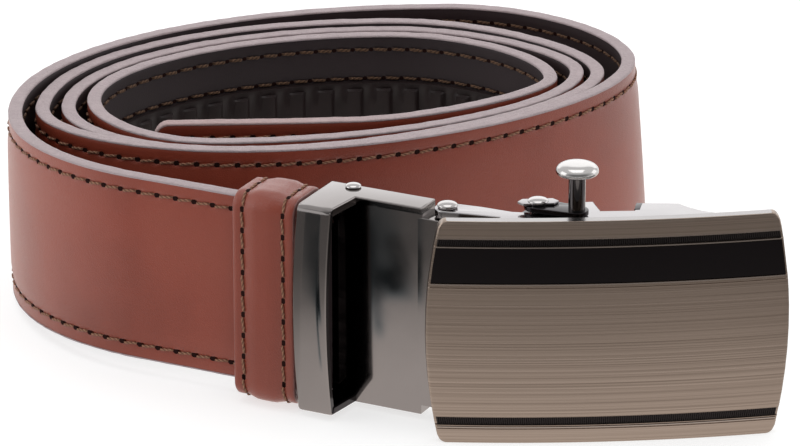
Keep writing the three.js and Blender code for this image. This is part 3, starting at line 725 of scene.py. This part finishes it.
def buildSeams():
    # the outer seam goes round the tail's tip; the lining shows it again, and two more beside the track
    l, along, up, ns, nu = rimPath(strap["seamIn"], 0.65)
    l = along[0] + l
    step = 0.05
    faceAt = faceOut(np.array(strap["seamIn"])) + 0.02
    for name, out, sense, thread in (("outer_seam", faceAt, 1, outerThread),
                                     ("inner_seam", -strapThick, -1, innerThread)):
        at = strapPoint(along, out, up)
        outward = (strapPoint(along, out + step, up) - at) / step * sense
        side = (strapPoint(along + ns * step, out, up + nu * step) - at) / step
        holes = np.arange(0, l[-1], strap["pitch"])
        makeSeam(name, l, at, outward, side, "coil", holes, thread)
    along = np.linspace(0, strapLong, 1800)
    for name, up in (("track_seam_top", track["seamTop"]), ("track_seam_low", track["seamLow"])):
        at = strapPoint(along, -strapThick, up)
        outward = -(strapPoint(along, -strapThick + step, up) - at) / step
        side = (strapPoint(along, -strapThick, up + step) - at) / step
        holes = np.arange(track["seamFrom"], strapLong - track["seamTo"], strap["pitch"])
        makeSeam(name, along, at, outward, side, "coil", holes, innerThread)


track = {
    "width": 16.5,
    "base": 0.8,
    "tooth": 1.0,
    "pitch": 6.0,
    "count": 38,
    "fromTip": 22.0,
    "rail": 1.6,
    "seamTop": 26.3,
    "seamLow": 8.7,
    "seamFrom": 880.0,
    "seamTo": 14.0,
}


def buildTrack():
    # height over the lining: a ramp that climbs for most of a pitch and drops, between two plain rails
    long = track["count"] * track["pitch"]
    along = np.arange(0, long + 0.01, track["pitch"] / 16)
    phase = (along / track["pitch"]) % 1.0
    ramped = smoothStep(phase / 0.8) * (1 - smoothStep((phase - 0.84) / 0.12))
    low = (strap["width"] - track["width"]) / 2
    inner = np.array((0.0, 0.15, 1.3, track["rail"], 4.5, track["width"] / 2))
    up = low + np.concatenate((inner, track["width"] - inner[:-1][::-1]))
    near = np.minimum(up - low, low + track["width"] - up)
    between = np.clip((near - 1.3) / 0.3, 0, 1)
    teeth = (track["tooth"] * ramped[:, None] - 0.15) * between
    height = track["base"] * np.minimum(1, 0.4 + near / 0.25) + teeth
    height = np.where(near < 1.35, np.minimum(height, track["base"] + 0.25), height)
    under = -strapThick - 0.08
    start = strapLong - track["fromTip"] - long
    top = strapPoint(start + along[:, None], under - height, up[None])
    sole = strapPoint(start + along[:, None], np.full((1, 2), under), up[[-1, 0]][None])
    gridPiece("track_teeth", np.concatenate((top, sole), 1), "coil", "strap", "track", ["track"],
              replaces=["ratchet_track"], sharp=50)


buildStrap()
buildEdges()
buildSeams()
buildTrack()
print("strap built")


# the keeper, a leather loop round the strap; its front and back are measured from the clamp's face
keeper = {
    "width": 12.0,
    "gap": 1.0,
    "wall": 1.6,
    "front": 0.1,
    "back": 11.6,
    "low": 1.15,
    "high": 40.05,
    "corner": 3.0,
    "seamIn": 2.0,
    "pad": 0.55,
    "pitch": 4.05,
    "rippleFrom": 17.5,
    "rippleWide": 2.5,
    "rippleDepth": 0.03,
    "ripplePitch": 2.1,
}


def ringPath(front, back, low, high, corner, step, bow=0.0):
    # round a rounded rectangle seen along the run: length, back, up, and the way out of it;
    # its front side may bow outward by a parabola
    wide = back - front - 2 * corner
    tall = high - low - 2 * corner
    quarter = corner * pi / 2
    lengths = np.array((tall, quarter, wide, quarter, tall, quarter, wide, quarter))
    total = lengths.sum()
    l = np.linspace(0, total, int(round(total / step)), endpoint=False)
    ends = np.concatenate(([0], np.cumsum(lengths)))
    part = np.clip(np.searchsorted(ends, l, side="right") - 1, 0, 7)
    into = l - ends[part]
    bend = part % 2 == 1
    way = np.radians(90 - 90 * (part // 2)) - np.where(bend, into / corner, 0)
    centres = np.array(((front + corner, high - corner), (back - corner, high - corner),
                        (back - corner, low + corner), (front + corner, low + corner)))
    outward = way + pi / 2
    n = np.stack((np.cos(outward), np.sin(outward)), -1)
    starts = np.array(((front, low + corner), (front + corner, high), (back, high - corner),
                       (back - corner, low)))
    straight = starts[part // 2] + np.stack((np.cos(way), np.sin(way)), -1) * into[:, None]
    place = np.where(bend[:, None], centres[part // 2] + n * corner, straight)
    rise = (place[:, 1] - (low + high) / 2) / ((high - low) / 2)
    frontal = np.clip(-n[:, 0], 0, 1) * (place[:, 0] < (front + back) / 2)
    place[:, 0] -= bow * (1 - rise ** 2) * frontal
    return l, total, place, n


def buildKeeper():
    # a padded profile with a sunk seam near both edges, swept round the loop
    k = keeper
    l, total, place, n = ringPath(k["front"], k["back"], k["low"], k["high"], k["corner"], k["pitch"] / 8)
    half = np.array((0.0, 0.05, 0.3, 0.8, 1.4, 1.75, 2.0, 2.3, 2.7, 3.3, 4.2, 5.1))
    across = np.concatenate((half, [k["width"] / 2], k["width"] - half[::-1]))
    near = np.minimum(across, k["width"] - across)
    pad = k["pad"] * smoothStep((near - k["seamIn"] - 0.15) / 2.6)
    height = 0.03 + pad - 0.3 * np.clip(1 - near / 0.45, 0, 1) ** 2
    height -= 0.13 * np.exp(-((near - k["seamIn"]) / 0.4) ** 2)
    w = np.concatenate((across, [k["width"] - 0.03, k["width"] - 0.3, k["width"] / 2, 0.3, 0.03]))
    h = np.concatenate((height, [-k["wall"] + 0.25, -k["wall"], -k["wall"], -k["wall"], -k["wall"] + 0.25]))
    # tiny waves in the pad as the leather is drawn round the corners
    fromMiddle = np.abs(place[:, 1] - (k["low"] + k["high"]) / 2)
    bendy = np.exp(-((fromMiddle - k["rippleFrom"]) / k["rippleWide"]) ** 2)
    wave = (np.sin(l * k["ripplePitch"]) * bendy * k["rippleDepth"])[:, None]
    reach = h[None] + wave * (h > 0.2)[None]
    points = np.empty((len(l), len(w), 3))
    points[..., 0] = -k["gap"] - k["width"] + w[None]
    points[..., 1] = place[:, None, 0] + n[:, None, 0] * reach
    points[..., 2] = place[:, None, 1] + n[:, None, 1] * reach
    uv = gridMap(np.append(l, total), np.append(w, w[0]))
    gridPiece("keeper_leather", points, "clamp", "strap", "leather", ["keeper"], uv, True,
              replaces=["keeper_loop"], sharp=60)
    # both seams run right round, so their path goes a little past its own start
    holes = np.linspace(0, total, int(round(total / k["pitch"])) + 1)
    extra = 12
    over = np.append(np.arange(len(l)), np.arange(extra))
    wrapped = np.concatenate((l, total + l[:extra]))
    out = np.column_stack((np.zeros(len(l)), n))[over]
    side = np.tile(np.array((1.0, 0.0, 0.0)), (len(wrapped), 1))
    for name, w0 in (("keeper_seam_left", k["seamIn"]), ("keeper_seam_right", k["width"] - k["seamIn"])):
        at = np.column_stack((np.full(len(l), -k["gap"] - k["width"] + w0), place + n * -0.06))[over]
        makeSeam(name, wrapped, at, out, side, "clamp", holes + holes[1] * 0.3, outerThread)


buildKeeper()
print("keeper built")


# the clamp at the strap's end, with its loop and its arm; x runs along the arm and y to the back
clamp = {
    "low": 1.1,
    "high": 40.1,
    "loopLong": 6.6,
    "loopBackLong": 7.5,
    "loopFront": -0.2,
    "loopWall": 1.3,
    "bow": 1.1,
    "bulge": 0.5,
    "armFront": 7.8,
    "armBack": 13.2,
    "armLong": 20.4,
    "hinge": (24.2, 10.3),
    "eye": 2.7,
    "ledge": 1.8,
    "edge": 0.28,
}
rivets = {
    "clamp_rivet": {"plan": "clamp", "body": "strap", "at": (4.9, 12.0), "shank": 0.9, "low": 38.0,
                    "high": 40.15, "head": 1.45, "rim": 0.15, "cap": 0.55, "replaces": "clamp_pin"},
    "hinge_rivet": {"plan": "buckle", "body": "buckle", "at": (2.2, 10.3), "shank": 1.1, "low": 1.2,
                    "high": 40.2, "head": 1.84, "rim": 0.3, "cap": 0.7, "replaces": "hinge_pin"},
    "pawl_rivet_head": {"plan": "buckle", "body": "buckle", "at": (17.8, 7.9), "shank": 1.1, "low": 1.2,
                        "high": 41.35, "head": 1.84, "rim": 0.45, "cap": 0.6, "replaces": "pawl_rivet"},
}


def buildRivet(name):
    # a straight shank, then a short rim and a quarter ellipse that closes on the axis
    r = rivets[name]
    rows = [(0, r["low"]), (r["shank"], r["low"]), (r["shank"], r["high"]), (r["head"] - 0.12, r["high"])]
    dome = r["high"] + r["rim"]
    rows += [(r["head"] * cos(t), dome + r["cap"] * sin(t)) for t in np.linspace(0, pi / 2, 12)]
    turnedPiece(name, r["at"], rows, r["plan"], r["body"], "rivet", [r["replaces"]])


def refinish(node, key):
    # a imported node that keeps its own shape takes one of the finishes
    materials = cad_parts[node].data.materials
    materials.clear()
    materials.append(finish[key])


def buildClamp():
    c = clamp
    # the loop in front of the arm, swept round as one ring whose right end slants back
    l, _, place, n = ringPath(c["loopFront"], c["armFront"] + 1.6, c["low"], c["high"], 0.7, 0.45, c["bow"])
    shares = np.array((0, 0.0, 0.03, 0.09, 0.3, 0.5, 0.7, 0.91, 0.97, 1, 1))
    heights = np.array((-0.9, -0.28, -0.09, 0, 0, 0, 0, 0, -0.09, -0.28, -0.9))
    inner = np.array((1.0, 0.97, 0.5, 0.03, 0.0))
    innerHeights = -c["loopWall"] - np.array((0.0, 0.3, 0.3, 0.3, 0.0))
    w = np.concatenate((shares, inner))
    h = np.concatenate((heights, innerHeights))
    reach = np.clip((place[:, 0] - c["loopFront"]) / (c["armFront"] - c["loopFront"]), 0, 1)
    long = c["loopLong"] + (c["loopBackLong"] - c["loopLong"]) * reach
    rise = (place[:, 1] - (c["low"] + c["high"]) / 2) / ((c["high"] - c["low"]) / 2)
    bulge = c["bulge"] * (1 - np.clip(rise, -1, 1) ** 2)
    points = np.empty((len(l), len(w), 3))
    points[..., 0] = long[:, None] * w[None] - bulge[:, None]
    points[..., 1] = place[:, None, 0] + n[:, None, 0] * h[None]
    points[..., 2] = place[:, None, 1] + n[:, None, 1] * h[None]
    # painted shade: the mouth and the inner wall take the dark gunmetal for the shade inside the loop
    index = (np.tile(np.arange(len(w)), len(l)) >= len(shares) - 2).astype(int)
    gridPiece("clamp_loop", points, "clamp", "strap", "clamp_metal", ["gunmetal", "gunmetalDark"],
              closeRows=True, replaces=["clamp_body"], sharp=30, index=index)
    # the arm, and the hinge's eye a step lower at both ends
    arm = outlineSolid([(0, c["armFront"]), (c["armLong"], c["armFront"]), (c["armLong"], c["armBack"]),
                        (0, c["armBack"])], c["low"], c["high"], c["edge"])
    # one plate over loop and arm, so that no seam shows between them
    over = [(0, 0.6), (6.7, 0.6), (c["loopBackLong"], c["armFront"]), (c["armLong"], c["armFront"]),
            (c["armLong"], c["armBack"]), (0, c["armBack"])]
    cover = outlineSolid(over, c["high"] - 1.5, c["high"] + 0.015, c["edge"])
    eyeRing = np.vstack(([(c["armLong"] - 3, c["armFront"] + 0.1)], arc(c["hinge"], c["eye"], -90, 90, 20),
                         [(c["armLong"] - 3, c["armBack"] - 0.1)]))
    eye = outlineSolid(eyeRing, c["low"] + c["ledge"], c["high"] - c["ledge"], 0.15)
    joinedPiece("clamp_arm", [arm, cover, eye], "clamp", "strap", ["gunmetal"])
    buildRivet("clamp_rivet")
    refinish("clamp_jaw", "gunmetal")


buildClamp()
print("clamp built")


# the buckle's face plate, its x along the plate from the hinge's side
plate = {
    "long": 58.9,
    "high": 41.4,
    "thick": 2.0,
    "bow": 1.9,
    "bulge": 2.35,
    "corner": 1.5,
    "bevel": 0.25,
}
plateLines = [
    {"name": "low ridge", "low": 2.7, "high": 3.3, "cut": 0.16},
    {"name": "low groove", "low": 3.42, "high": 4.82, "cut": 0.35},
    {"name": "under band", "low": 29.1, "high": 29.5, "cut": 0.16},
    {"name": "band", "low": 29.9, "high": 36.4, "cut": 0.4},
    {"name": "top groove", "low": 36.8, "high": 38.0, "cut": 0.35},
]
band = {"low": 29.93, "high": 36.37, "front": 0.05, "back": 0.38}
grooves = {"stations": 640, "floor": 0.2, "tooth": 0.07}


def faceY(x):
    # the plate's face bows forward as a parabola
    half = plate["long"] / 2
    return -plate["bow"] * (1 - ((x - half) / half) ** 2)


def plateHalf(z):
    # half the plate's length at a height: sides that bulge as a parabola and round into the corners
    up = (z - plate["high"] / 2) / (plate["high"] / 2)
    near = np.minimum(z, plate["high"] - z)
    into = np.clip(plate["corner"] - near, 0, None)
    corner = plate["corner"] - np.sqrt(np.maximum(plate["corner"] ** 2 - into ** 2, 0))
    return plate["long"] / 2 + plate["bulge"] * (1 - up * up) - corner * 0.8


def slabPiece(name, rows, cut, shares, sideCut, back, shrink, slot, finishes, **more):
    # a bowed slab: for each height its face from left to right, then its back from right to left
    x = plate["long"] / 2 + (plateHalf(rows)[:, None] - shrink) * shares[None]
    z = np.repeat(rows[:, None], len(shares), 1)
    front = np.stack((x, faceY(x) + cut[:, None] + sideCut * (1 - cut[:, None] / 0.9), z), -1)
    rear = np.stack((x, faceY(x) + back, z), -1)[:, ::-1]
    gridPiece(name, np.concatenate((front, rear), 1), "buckle", "buckle", slot, finishes, **more)


def buildPlate():
    # how deep the face is cut at each height: both rounded edges, plain rows, and the lines' floors
    p = plate
    edge = {0.0: p["bevel"], 0.05: 0.12, 0.15: 0.05, 0.3: 0.01}
    cuts = {**edge, **{p["high"] - z: cut for z, cut in edge.items()}}
    cuts.update({z: 0.0 for z in (0.6, 1.5, 8.0, 12.0, 16.0, 20.0, 24.0, 27.0, 39.0, 40.2, 40.8)})
    for line in plateLines:
        low, high = line["low"], line["high"]
        cuts.update({low - 0.08: 0.0, low: line["cut"], high: line["cut"], high + 0.08: 0.0})
    rows = np.array(sorted(cuts))
    cut = np.array([cuts[z] for z in sorted(cuts)])
    shares = np.concatenate(([-1, -0.998, -0.993], np.linspace(-0.985, 0.985, 61), [0.993, 0.998, 1]))
    sideCut = np.interp(1 - np.abs(shares), [0, 0.002, 0.007, 0.015], [p["bevel"], 0.2, 0.05, 0.0])
    index = np.repeat((0, 1), ((len(rows) - 1) * len(shares) * 2, 2))
    slabPiece("face_brushed", rows, cut, shares, sideCut, p["thick"], 0.0, "plate_metal", ["plate", "rim"],
              replaces=["face_plate"], sharp=25, index=index)
    # the enamel fills its recess nearly flush
    rows = np.array((band["low"], band["low"] + 0.06, 33.0, band["high"] - 0.06, band["high"]))
    cut = band["front"] + 0.08 * np.array((1, 0, 0, 0, 1))
    slabPiece("face_enamel", rows, cut, shares, 0.0, band["back"], 0.35, "black_band", ["band"],
              replaces=["face_band"], sharp=25)
    # fine upright teeth on the floor of both milled grooves
    shares = np.linspace(-1, 1, grooves["stations"])
    teeth = grooves["floor"] + grooves["tooth"] * np.cos(np.arange(grooves["stations"]) * pi / 2)
    for name, low, high in (("groove_top", 36.84, 37.98), ("groove_low", 3.46, 4.8)):
        rows = np.array((low, low + 0.12, high - 0.12, high))
        slabPiece(name, rows, np.zeros(4), shares, teeth, 0.42, 0.4, "plate_metal", ["groove"], sharp=20)
    # raised lines beside the grooves and the band, in a paler, glossier finish: the paler colour is painted
    # highlight
    for number, (low, high) in enumerate(((2.86, 3.12), (36.44, 36.76), (38.08, 38.34), (29.56, 29.84))):
        rows = np.array((low, low + 0.06, high - 0.06, high))
        slabPiece(f"highlight_ridge_{number + 1}", rows, np.array((0.12, -0.03, -0.03, 0.12)),
                  np.linspace(-1, 1, 61), 0.0, 0.3, 0.3, "plate_metal", ["ridge"], sharp=30)


# the frame behind the plate, its lever and its post
frameWalls = {
    "low": 1.1,
    "high": 40.1,
    "wall": 1.5,
    "edge": 0.22,
    "hinge": (2.2, 10.3),
    "ear": 2.3,
    "pawl": (17.8, 7.9),
    "lug": 3.1,
    "post": (24.2, 4.6),
    "hole": 1.16,
}
lever = {"low": 40.35, "high": 41.25, "pawlEnd": 2.5, "postEnd": 2.1, "hole": 1.19}
post = {"head": 3.75, "tuck": 0.6, "low": 47.85, "middle": 48.35, "cap": 1.45}


def wallOutline(finger):
    # the frame's wall from above: hinge ear, waist, pawl lug, then the finger and tab, and home by the plate
    ear = arc(frameWalls["hinge"], frameWalls["ear"], 245, 60, 16)
    waist = np.array([(3.4, 12.3), (8.2, 10.2), (13.2, 7.4)])
    lug = arc(frameWalls["pawl"], frameWalls["lug"], 165, 15, 16)
    if finger:
        lug = np.array([(15, 7.0), (20.6, 6.6)])
    hook = np.array([(22.6, 6.5), (23.2, 9.6), (25.4, 11.2), (27.8, 11.4), (28.6, 6.6)])
    tab = np.array([(34.4, 6.4), (35.9, 10.1), (42.6, 9.4), (44, 7.6), (46.2, 5.6), (50.5, 3.4)])
    x = np.array((50.5, 44, 36, 29.4, 22, 15, 10.8))
    front = np.column_stack((x, faceY(x) + plate["thick"] + 0.15))
    return np.vstack((ear, waist, lug, *([hook] if finger else []), tab, front, [(10.8, 4.9)]))


def buildFrame():
    f = frameWalls
    holes = [arc(f["hinge"], f["hole"], 0, 345, 24), arc(f["pawl"], f["hole"], 0, 345, 24)]
    top = outlineSolid(wallOutline(True), f["high"] - f["wall"], f["high"], f["edge"], holes[:1])
    low = outlineSolid(wallOutline(False), f["low"], f["low"] + f["wall"], f["edge"], holes)
    across = [(36.6, 7.6), (42, 7.6), (42, 9.2), (36.6, 9.2)]
    bar = outlineSolid(across, f["low"] + 0.3, f["high"] - 0.3, 0.15)
    joinedPiece("frame_walls", [top, low, bar], "buckle", "buckle", ["frame"],
                ["buckle_frame"])
    buildRivet("hinge_rivet")
    buildRivet("pawl_rivet_head")
    # a lug carries the pawl's rivet below the wall, in the dark gunmetal as painted shade, with a pointed
    # bright washer bar under its head
    lug = outlineSolid(arc(f["pawl"], f["lug"], 0, 352, 40), f["high"] - 2.6, f["high"] - 0.9, 0.15)
    joinedPiece("pawl_lug", [lug], "buckle", "buckle", ["gunmetalDark"])
    halfBar = np.array([(-3.6, 0), (-2.7, -1.25), (2.7, -1.25), (3.6, 0), (2.7, 1.25), (-2.7, 1.25)])
    washer = outlineSolid(halfBar + f["pawl"], 41.3, 41.75, 0.1)
    joinedPiece("washer_bar", [washer], "buckle", "buckle", ["frame"])
    # the tab's end, a small block in the dark gunmetal: painted shade
    shadeBlock = outlineSolid([(34.5, 6.8), (35.5, 6.8), (36.3, 9.9), (35.2, 9.9)], f["high"] - 1.6,
                        f["high"] + 0.06, 0.08)
    joinedPiece("tab_end_shade", [shadeBlock], "buckle", "buckle", ["gunmetalDark"])
    refinish("pawl", "frame")


def buildLever():
    # a link with round ends from the pawl's rivet to the post
    f = frameWalls
    way = np.degrees(np.arctan2(f["post"][1] - f["pawl"][1], f["post"][0] - f["pawl"][0]))
    link = np.vstack((arc(f["pawl"], lever["pawlEnd"], way + 90, way + 270, 18),
                      arc(f["post"], lever["postEnd"], way - 90, way + 90, 18)))
    hole = arc(f["pawl"], lever["hole"], 0, 345, 24)
    joinedPiece("lever_link", [outlineSolid(link, lever["low"], lever["high"], 0.15, [hole])], "buckle",
                "pawl", ["gunmetalDark"])
    # the stem, then the head: a quarter turn tucked in below and a blunt dome above
    stem = [(0, 40.45), (1.5, 40.45), (1.5, 47.2), (1.65, 47.5), (2.3, 47.72), (0, 47.9)]
    turnedPiece("lever_stem", f["post"], stem, "buckle", "pawl", "stem", sharp=50)
    a = np.linspace(0, pi / 2, 12)
    wide = post["head"]
    rows = [(0, 47.73), (2.2, 47.73), (3.1, 47.82)]
    rows += [(wide - post["tuck"] * (1 - sin(t)), post["low"] + 0.5 * (1 - cos(t))) for t in a[2:]]
    rows += [(wide * cos(t) ** 0.5, post["middle"] + post["cap"] * sin(t)) for t in a[1:]]
    turnedPiece("lever_post", f["post"], rows, "buckle", "pawl", "chrome", ["release_lever"], 64, 50)


buildPlate()
buildFrame()
buildLever()
print("buckle built")


# the camera, on the coil's plan
view = {"place": (31.77, -828.1, 346.5), "pitch": 20.78, "lens": 225.0}
floorLook = {"size": 6.0, "albedo": 0.45, "glow": 0.65}
cardLook = {
    "x": (-320, 360),
    "y": (-480, 120),
    "step": 4,
    "fineX": (-140, -20),
    "fineY": (-140, -50),
    "fineStep": 0.8,
    "plate": (28, 34, -66),
    "reach": (5, 35, 64, 105, 300),
    "glow": (1.15, 0.9, 0.46, 0.27, 0.2),
    "side": 1.15,
    "right": 0.95,
    "tint": (1.0, 0.95, 0.91),
    "shade": (0.75, 1.0, 1.1),
}
# where the clamp's face is mirrored on the sheet, and the shades painted there as reflections in the clamp:
# across is measured along the clamp and up is the mirrored height, both in the clamp's own millimetres
mirrored = {"foot": (-13.2, -46.95), "way": (0.839, 0.544), "widen": 0.895, "rise": 2.677}
armShade = {"dark": 0.5, "left": 10.4, "right": 20.2, "low": 17}
spots = [
    {"across": 17.6, "wide": 1.7, "up": 37, "tall": 10, "power": 4},
    {"across": 15.4, "wide": 2.4, "up": 26, "tall": 4.5, "power": 2},
]
wedgeShade = {"dark": 0.8, "left": 4.8, "slant": 4.5, "right": 13.2, "low": 8}


def buildStage():
    camera = bpy.data.objects.new("camera", bpy.data.cameras.new("camera"))
    bpy.context.scene.collection.objects.link(camera)
    camera.location = placed(np.array(view["place"], float), "coil")
    camera.rotation_euler = (radians(90 - view["pitch"]), 0, -radians(plans["coil"]["yaw"]))
    camera.data.lens = view["lens"]
    camera.data.clip_start = 0.05
    camera.data.clip_end = 20
    bpy.context.scene.camera = camera
    albedo = floorLook["albedo"]
    material, tree = startMaterial("floor", (albedo, albedo, albedo), 0.9, specular=0.1)
    shader = tree.nodes["Principled BSDF"]
    shader.inputs["Emission Color"].default_value = (1, 1, 1, 1)
    shader.inputs["Emission Strength"].default_value = floorLook["glow"]
    size = floorLook["size"]
    mesh = bpy.data.meshes.new("floor")
    corners = [(-size, -size, 0), (size, -size, 0), (size, size, 0), (-size, size, 0)]
    mesh.from_pydata(corners, [], [(0, 1, 2, 3)])
    mesh.materials.append(material)
    floor = bpy.data.objects.new("floor", mesh)
    bpy.context.scene.collection.objects.link(floor)
    floor.visible_glossy = False


def cardGlow(x, y):
    # painted reflections for the polished parts: bright beside the plate and falling away from it, and bright
    # again to the left and the right of the coil; ahead of the clamp, measured along and across its mirrored
    # view, a shade over the arm's upper half and a wedge of shade over the loop's right side
    look = cardLook
    middle, half, front = look["plate"]
    reach = np.hypot(np.clip(np.abs(x - middle) - half, 0, None), np.clip(front - y, 0, None))
    glow = np.interp(reach, look["reach"], look["glow"])
    left = smoothStep((-50 - x) / 30) * smoothStep((y + 72) / 30)
    right = smoothStep((x - 94) / 30) * smoothStep((y + 55) / 40)
    fromX, fromY = x - mirrored["foot"][0], y - mirrored["foot"][1]
    along = -fromX * mirrored["way"][0] - fromY * mirrored["way"][1]
    across = (fromX * mirrored["way"][1] - fromY * mirrored["way"][0]) / mirrored["widen"]
    up = along / mirrored["rise"]
    a, w = armShade, wedgeShade
    arm = smoothStep((up - a["low"]) / 5) * smoothStep((across - a["left"]) / 0.8)
    arm = arm * smoothStep((a["right"] - across) / 2)
    spot = np.maximum(*(np.exp(-((across - s["across"]) / s["wide"]) ** s["power"]
                               - ((up - s["up"]) / s["tall"]) ** s["power"]) for s in spots))
    slant = w["left"] + w["slant"] * (1 - smoothStep((up - 9) / 26))
    wedge = smoothStep((across - slant) / 3) * smoothStep((w["right"] - across) / 2)
    wedge = wedge * smoothStep((up - w["low"]) / 4)
    glow = glow * (1 - 0.1 * smoothStep((2.5 - across) / 3) * smoothStep((along - 2) / 12))
    glow = glow + (look["side"] - glow) * (left + look["right"] * right)
    shade = np.clip(a["dark"] * arm + 0.95 * spot * (across > 10.5) + w["dark"] * wedge, 0, 0.95)
    tint = np.array(look["tint"]) + (np.array(look["shade"]) - np.array(look["tint"])) * shade[..., None]
    return glow[..., None] * (1 - shade[..., None]) * tint


def buildCard():
    # painted reflections: a glowing sheet on the floor, no lamp, that only mirrored rays see, with a finer
    # net where the clamp mirrors it
    look = cardLook
    x, y = (np.unique(np.concatenate((np.arange(look[key][0], look[key][1] + 1, look["step"], dtype=float),
                                      np.arange(*look[fine], look["fineStep"]))))
            for key, fine in (("x", "fineX"), ("y", "fineY")))
    gx, gy = np.meshgrid(x, y, indexing="ij")
    points = np.stack((gx, gy, np.zeros_like(gx)), -1) * 0.001
    faces, _ = gridFaces(points, closeCols=False, caps=False)
    mesh = meshFrom("mirror_card", points.reshape(-1, 3), faces)
    glow = mesh.attributes.new("glow", "FLOAT_COLOR", "POINT")
    color = np.concatenate((cardGlow(gx, gy), np.ones((*gx.shape, 1))), -1)
    glow.data.foreach_set("color", color.astype(np.float32).ravel())
    mesh.update(calc_edges=True)
    material = bpy.data.materials.new("mirror card")
    material.use_nodes = True
    tree = material.node_tree
    tree.nodes.clear()
    color = addNode(tree, "ShaderNodeAttribute", {"attribute_name": "glow"}).outputs["Color"]
    light = addNode(tree, "ShaderNodeEmission", Color=color, Strength=1.0)
    addNode(tree, "ShaderNodeOutputMaterial", Surface=light.outputs[0])
    mesh.materials.append(material)
    card = bpy.data.objects.new("mirror_card", mesh)
    bpy.context.scene.collection.objects.link(card)
    card.visible_camera = False
    card.visible_diffuse = False
    card.visible_shadow = False
    card.visible_transmission = False


softBoxes = [
    {"name": "back_box", "place": (0.1, 1.5, 0.62), "aim": (0, 0, 0.02), "size": (2.4, 0.8), "power": 5},
    {"name": "left_box", "place": (-1.2, -0.1, 0.5), "aim": (0, 0, 0.02), "size": (0.8, 0.8), "power": 2.5},
    {"name": "right_box", "place": (1.3, 0.3, 0.5), "aim": (0, 0, 0.02), "size": (0.8, 0.8), "power": 2},
    {"name": "top_box", "place": (0, 0.1, 1.5), "aim": (0, 0, 0), "size": (1.0, 1.0), "power": 4},
]
worldLook = {"round": 0.95, "front": 0.25, "under": 1.3}


def buildLight():
    for box in softBoxes:
        data = bpy.data.lights.new(box["name"], "AREA")
        data.shape = "RECTANGLE"
        data.size, data.size_y = box["size"]
        data.energy = box["power"]
        lamp = bpy.data.objects.new(box["name"], data)
        bpy.context.scene.collection.objects.link(lamp)
        lamp.location = box["place"]
        aim = Vector(box["aim"]) - Vector(box["place"])
        lamp.rotation_euler = aim.to_track_quat("-Z", "Y").to_euler()
    # a pale room that is darker low in front, where the camera stands, and under the horizon
    world = bpy.data.worlds.new("studio")
    bpy.context.scene.world = world
    world.use_nodes = True
    tree = world.node_tree
    way = addNode(tree, "ShaderNodeTexCoord").outputs["Generated"]
    parts = addNode(tree, "ShaderNodeSeparateXYZ", Vector=way)
    front = remap(tree, parts.outputs["Y"], -0.75, -0.05, 1.0, 0.0)
    low = remap(tree, parts.outputs["Z"], 0.55, 0.9, 1.0, 0.0)
    dim = calc(tree, "MULTIPLY", calc(tree, "MULTIPLY", front, low), worldLook["round"] - worldLook["front"])
    above = calc(tree, "SUBTRACT", worldLook["round"], dim)
    sky = remap(tree, parts.outputs["Z"], -0.02, 0.02, 0.0, 1.0)
    lower = calc(tree, "MULTIPLY", calc(tree, "SUBTRACT", 1.0, sky), worldLook["under"])
    strength = calc(tree, "MULTIPLY_ADD", above, sky, lower)
    background = tree.nodes["Background"]
    background.inputs["Color"].default_value = (1, 1, 1, 1)
    tree.links.new(strength, background.inputs["Strength"])
    bpy.context.scene.view_settings.view_transform = "Standard"


buildStage()
buildCard()
buildLight()
print("stage set")
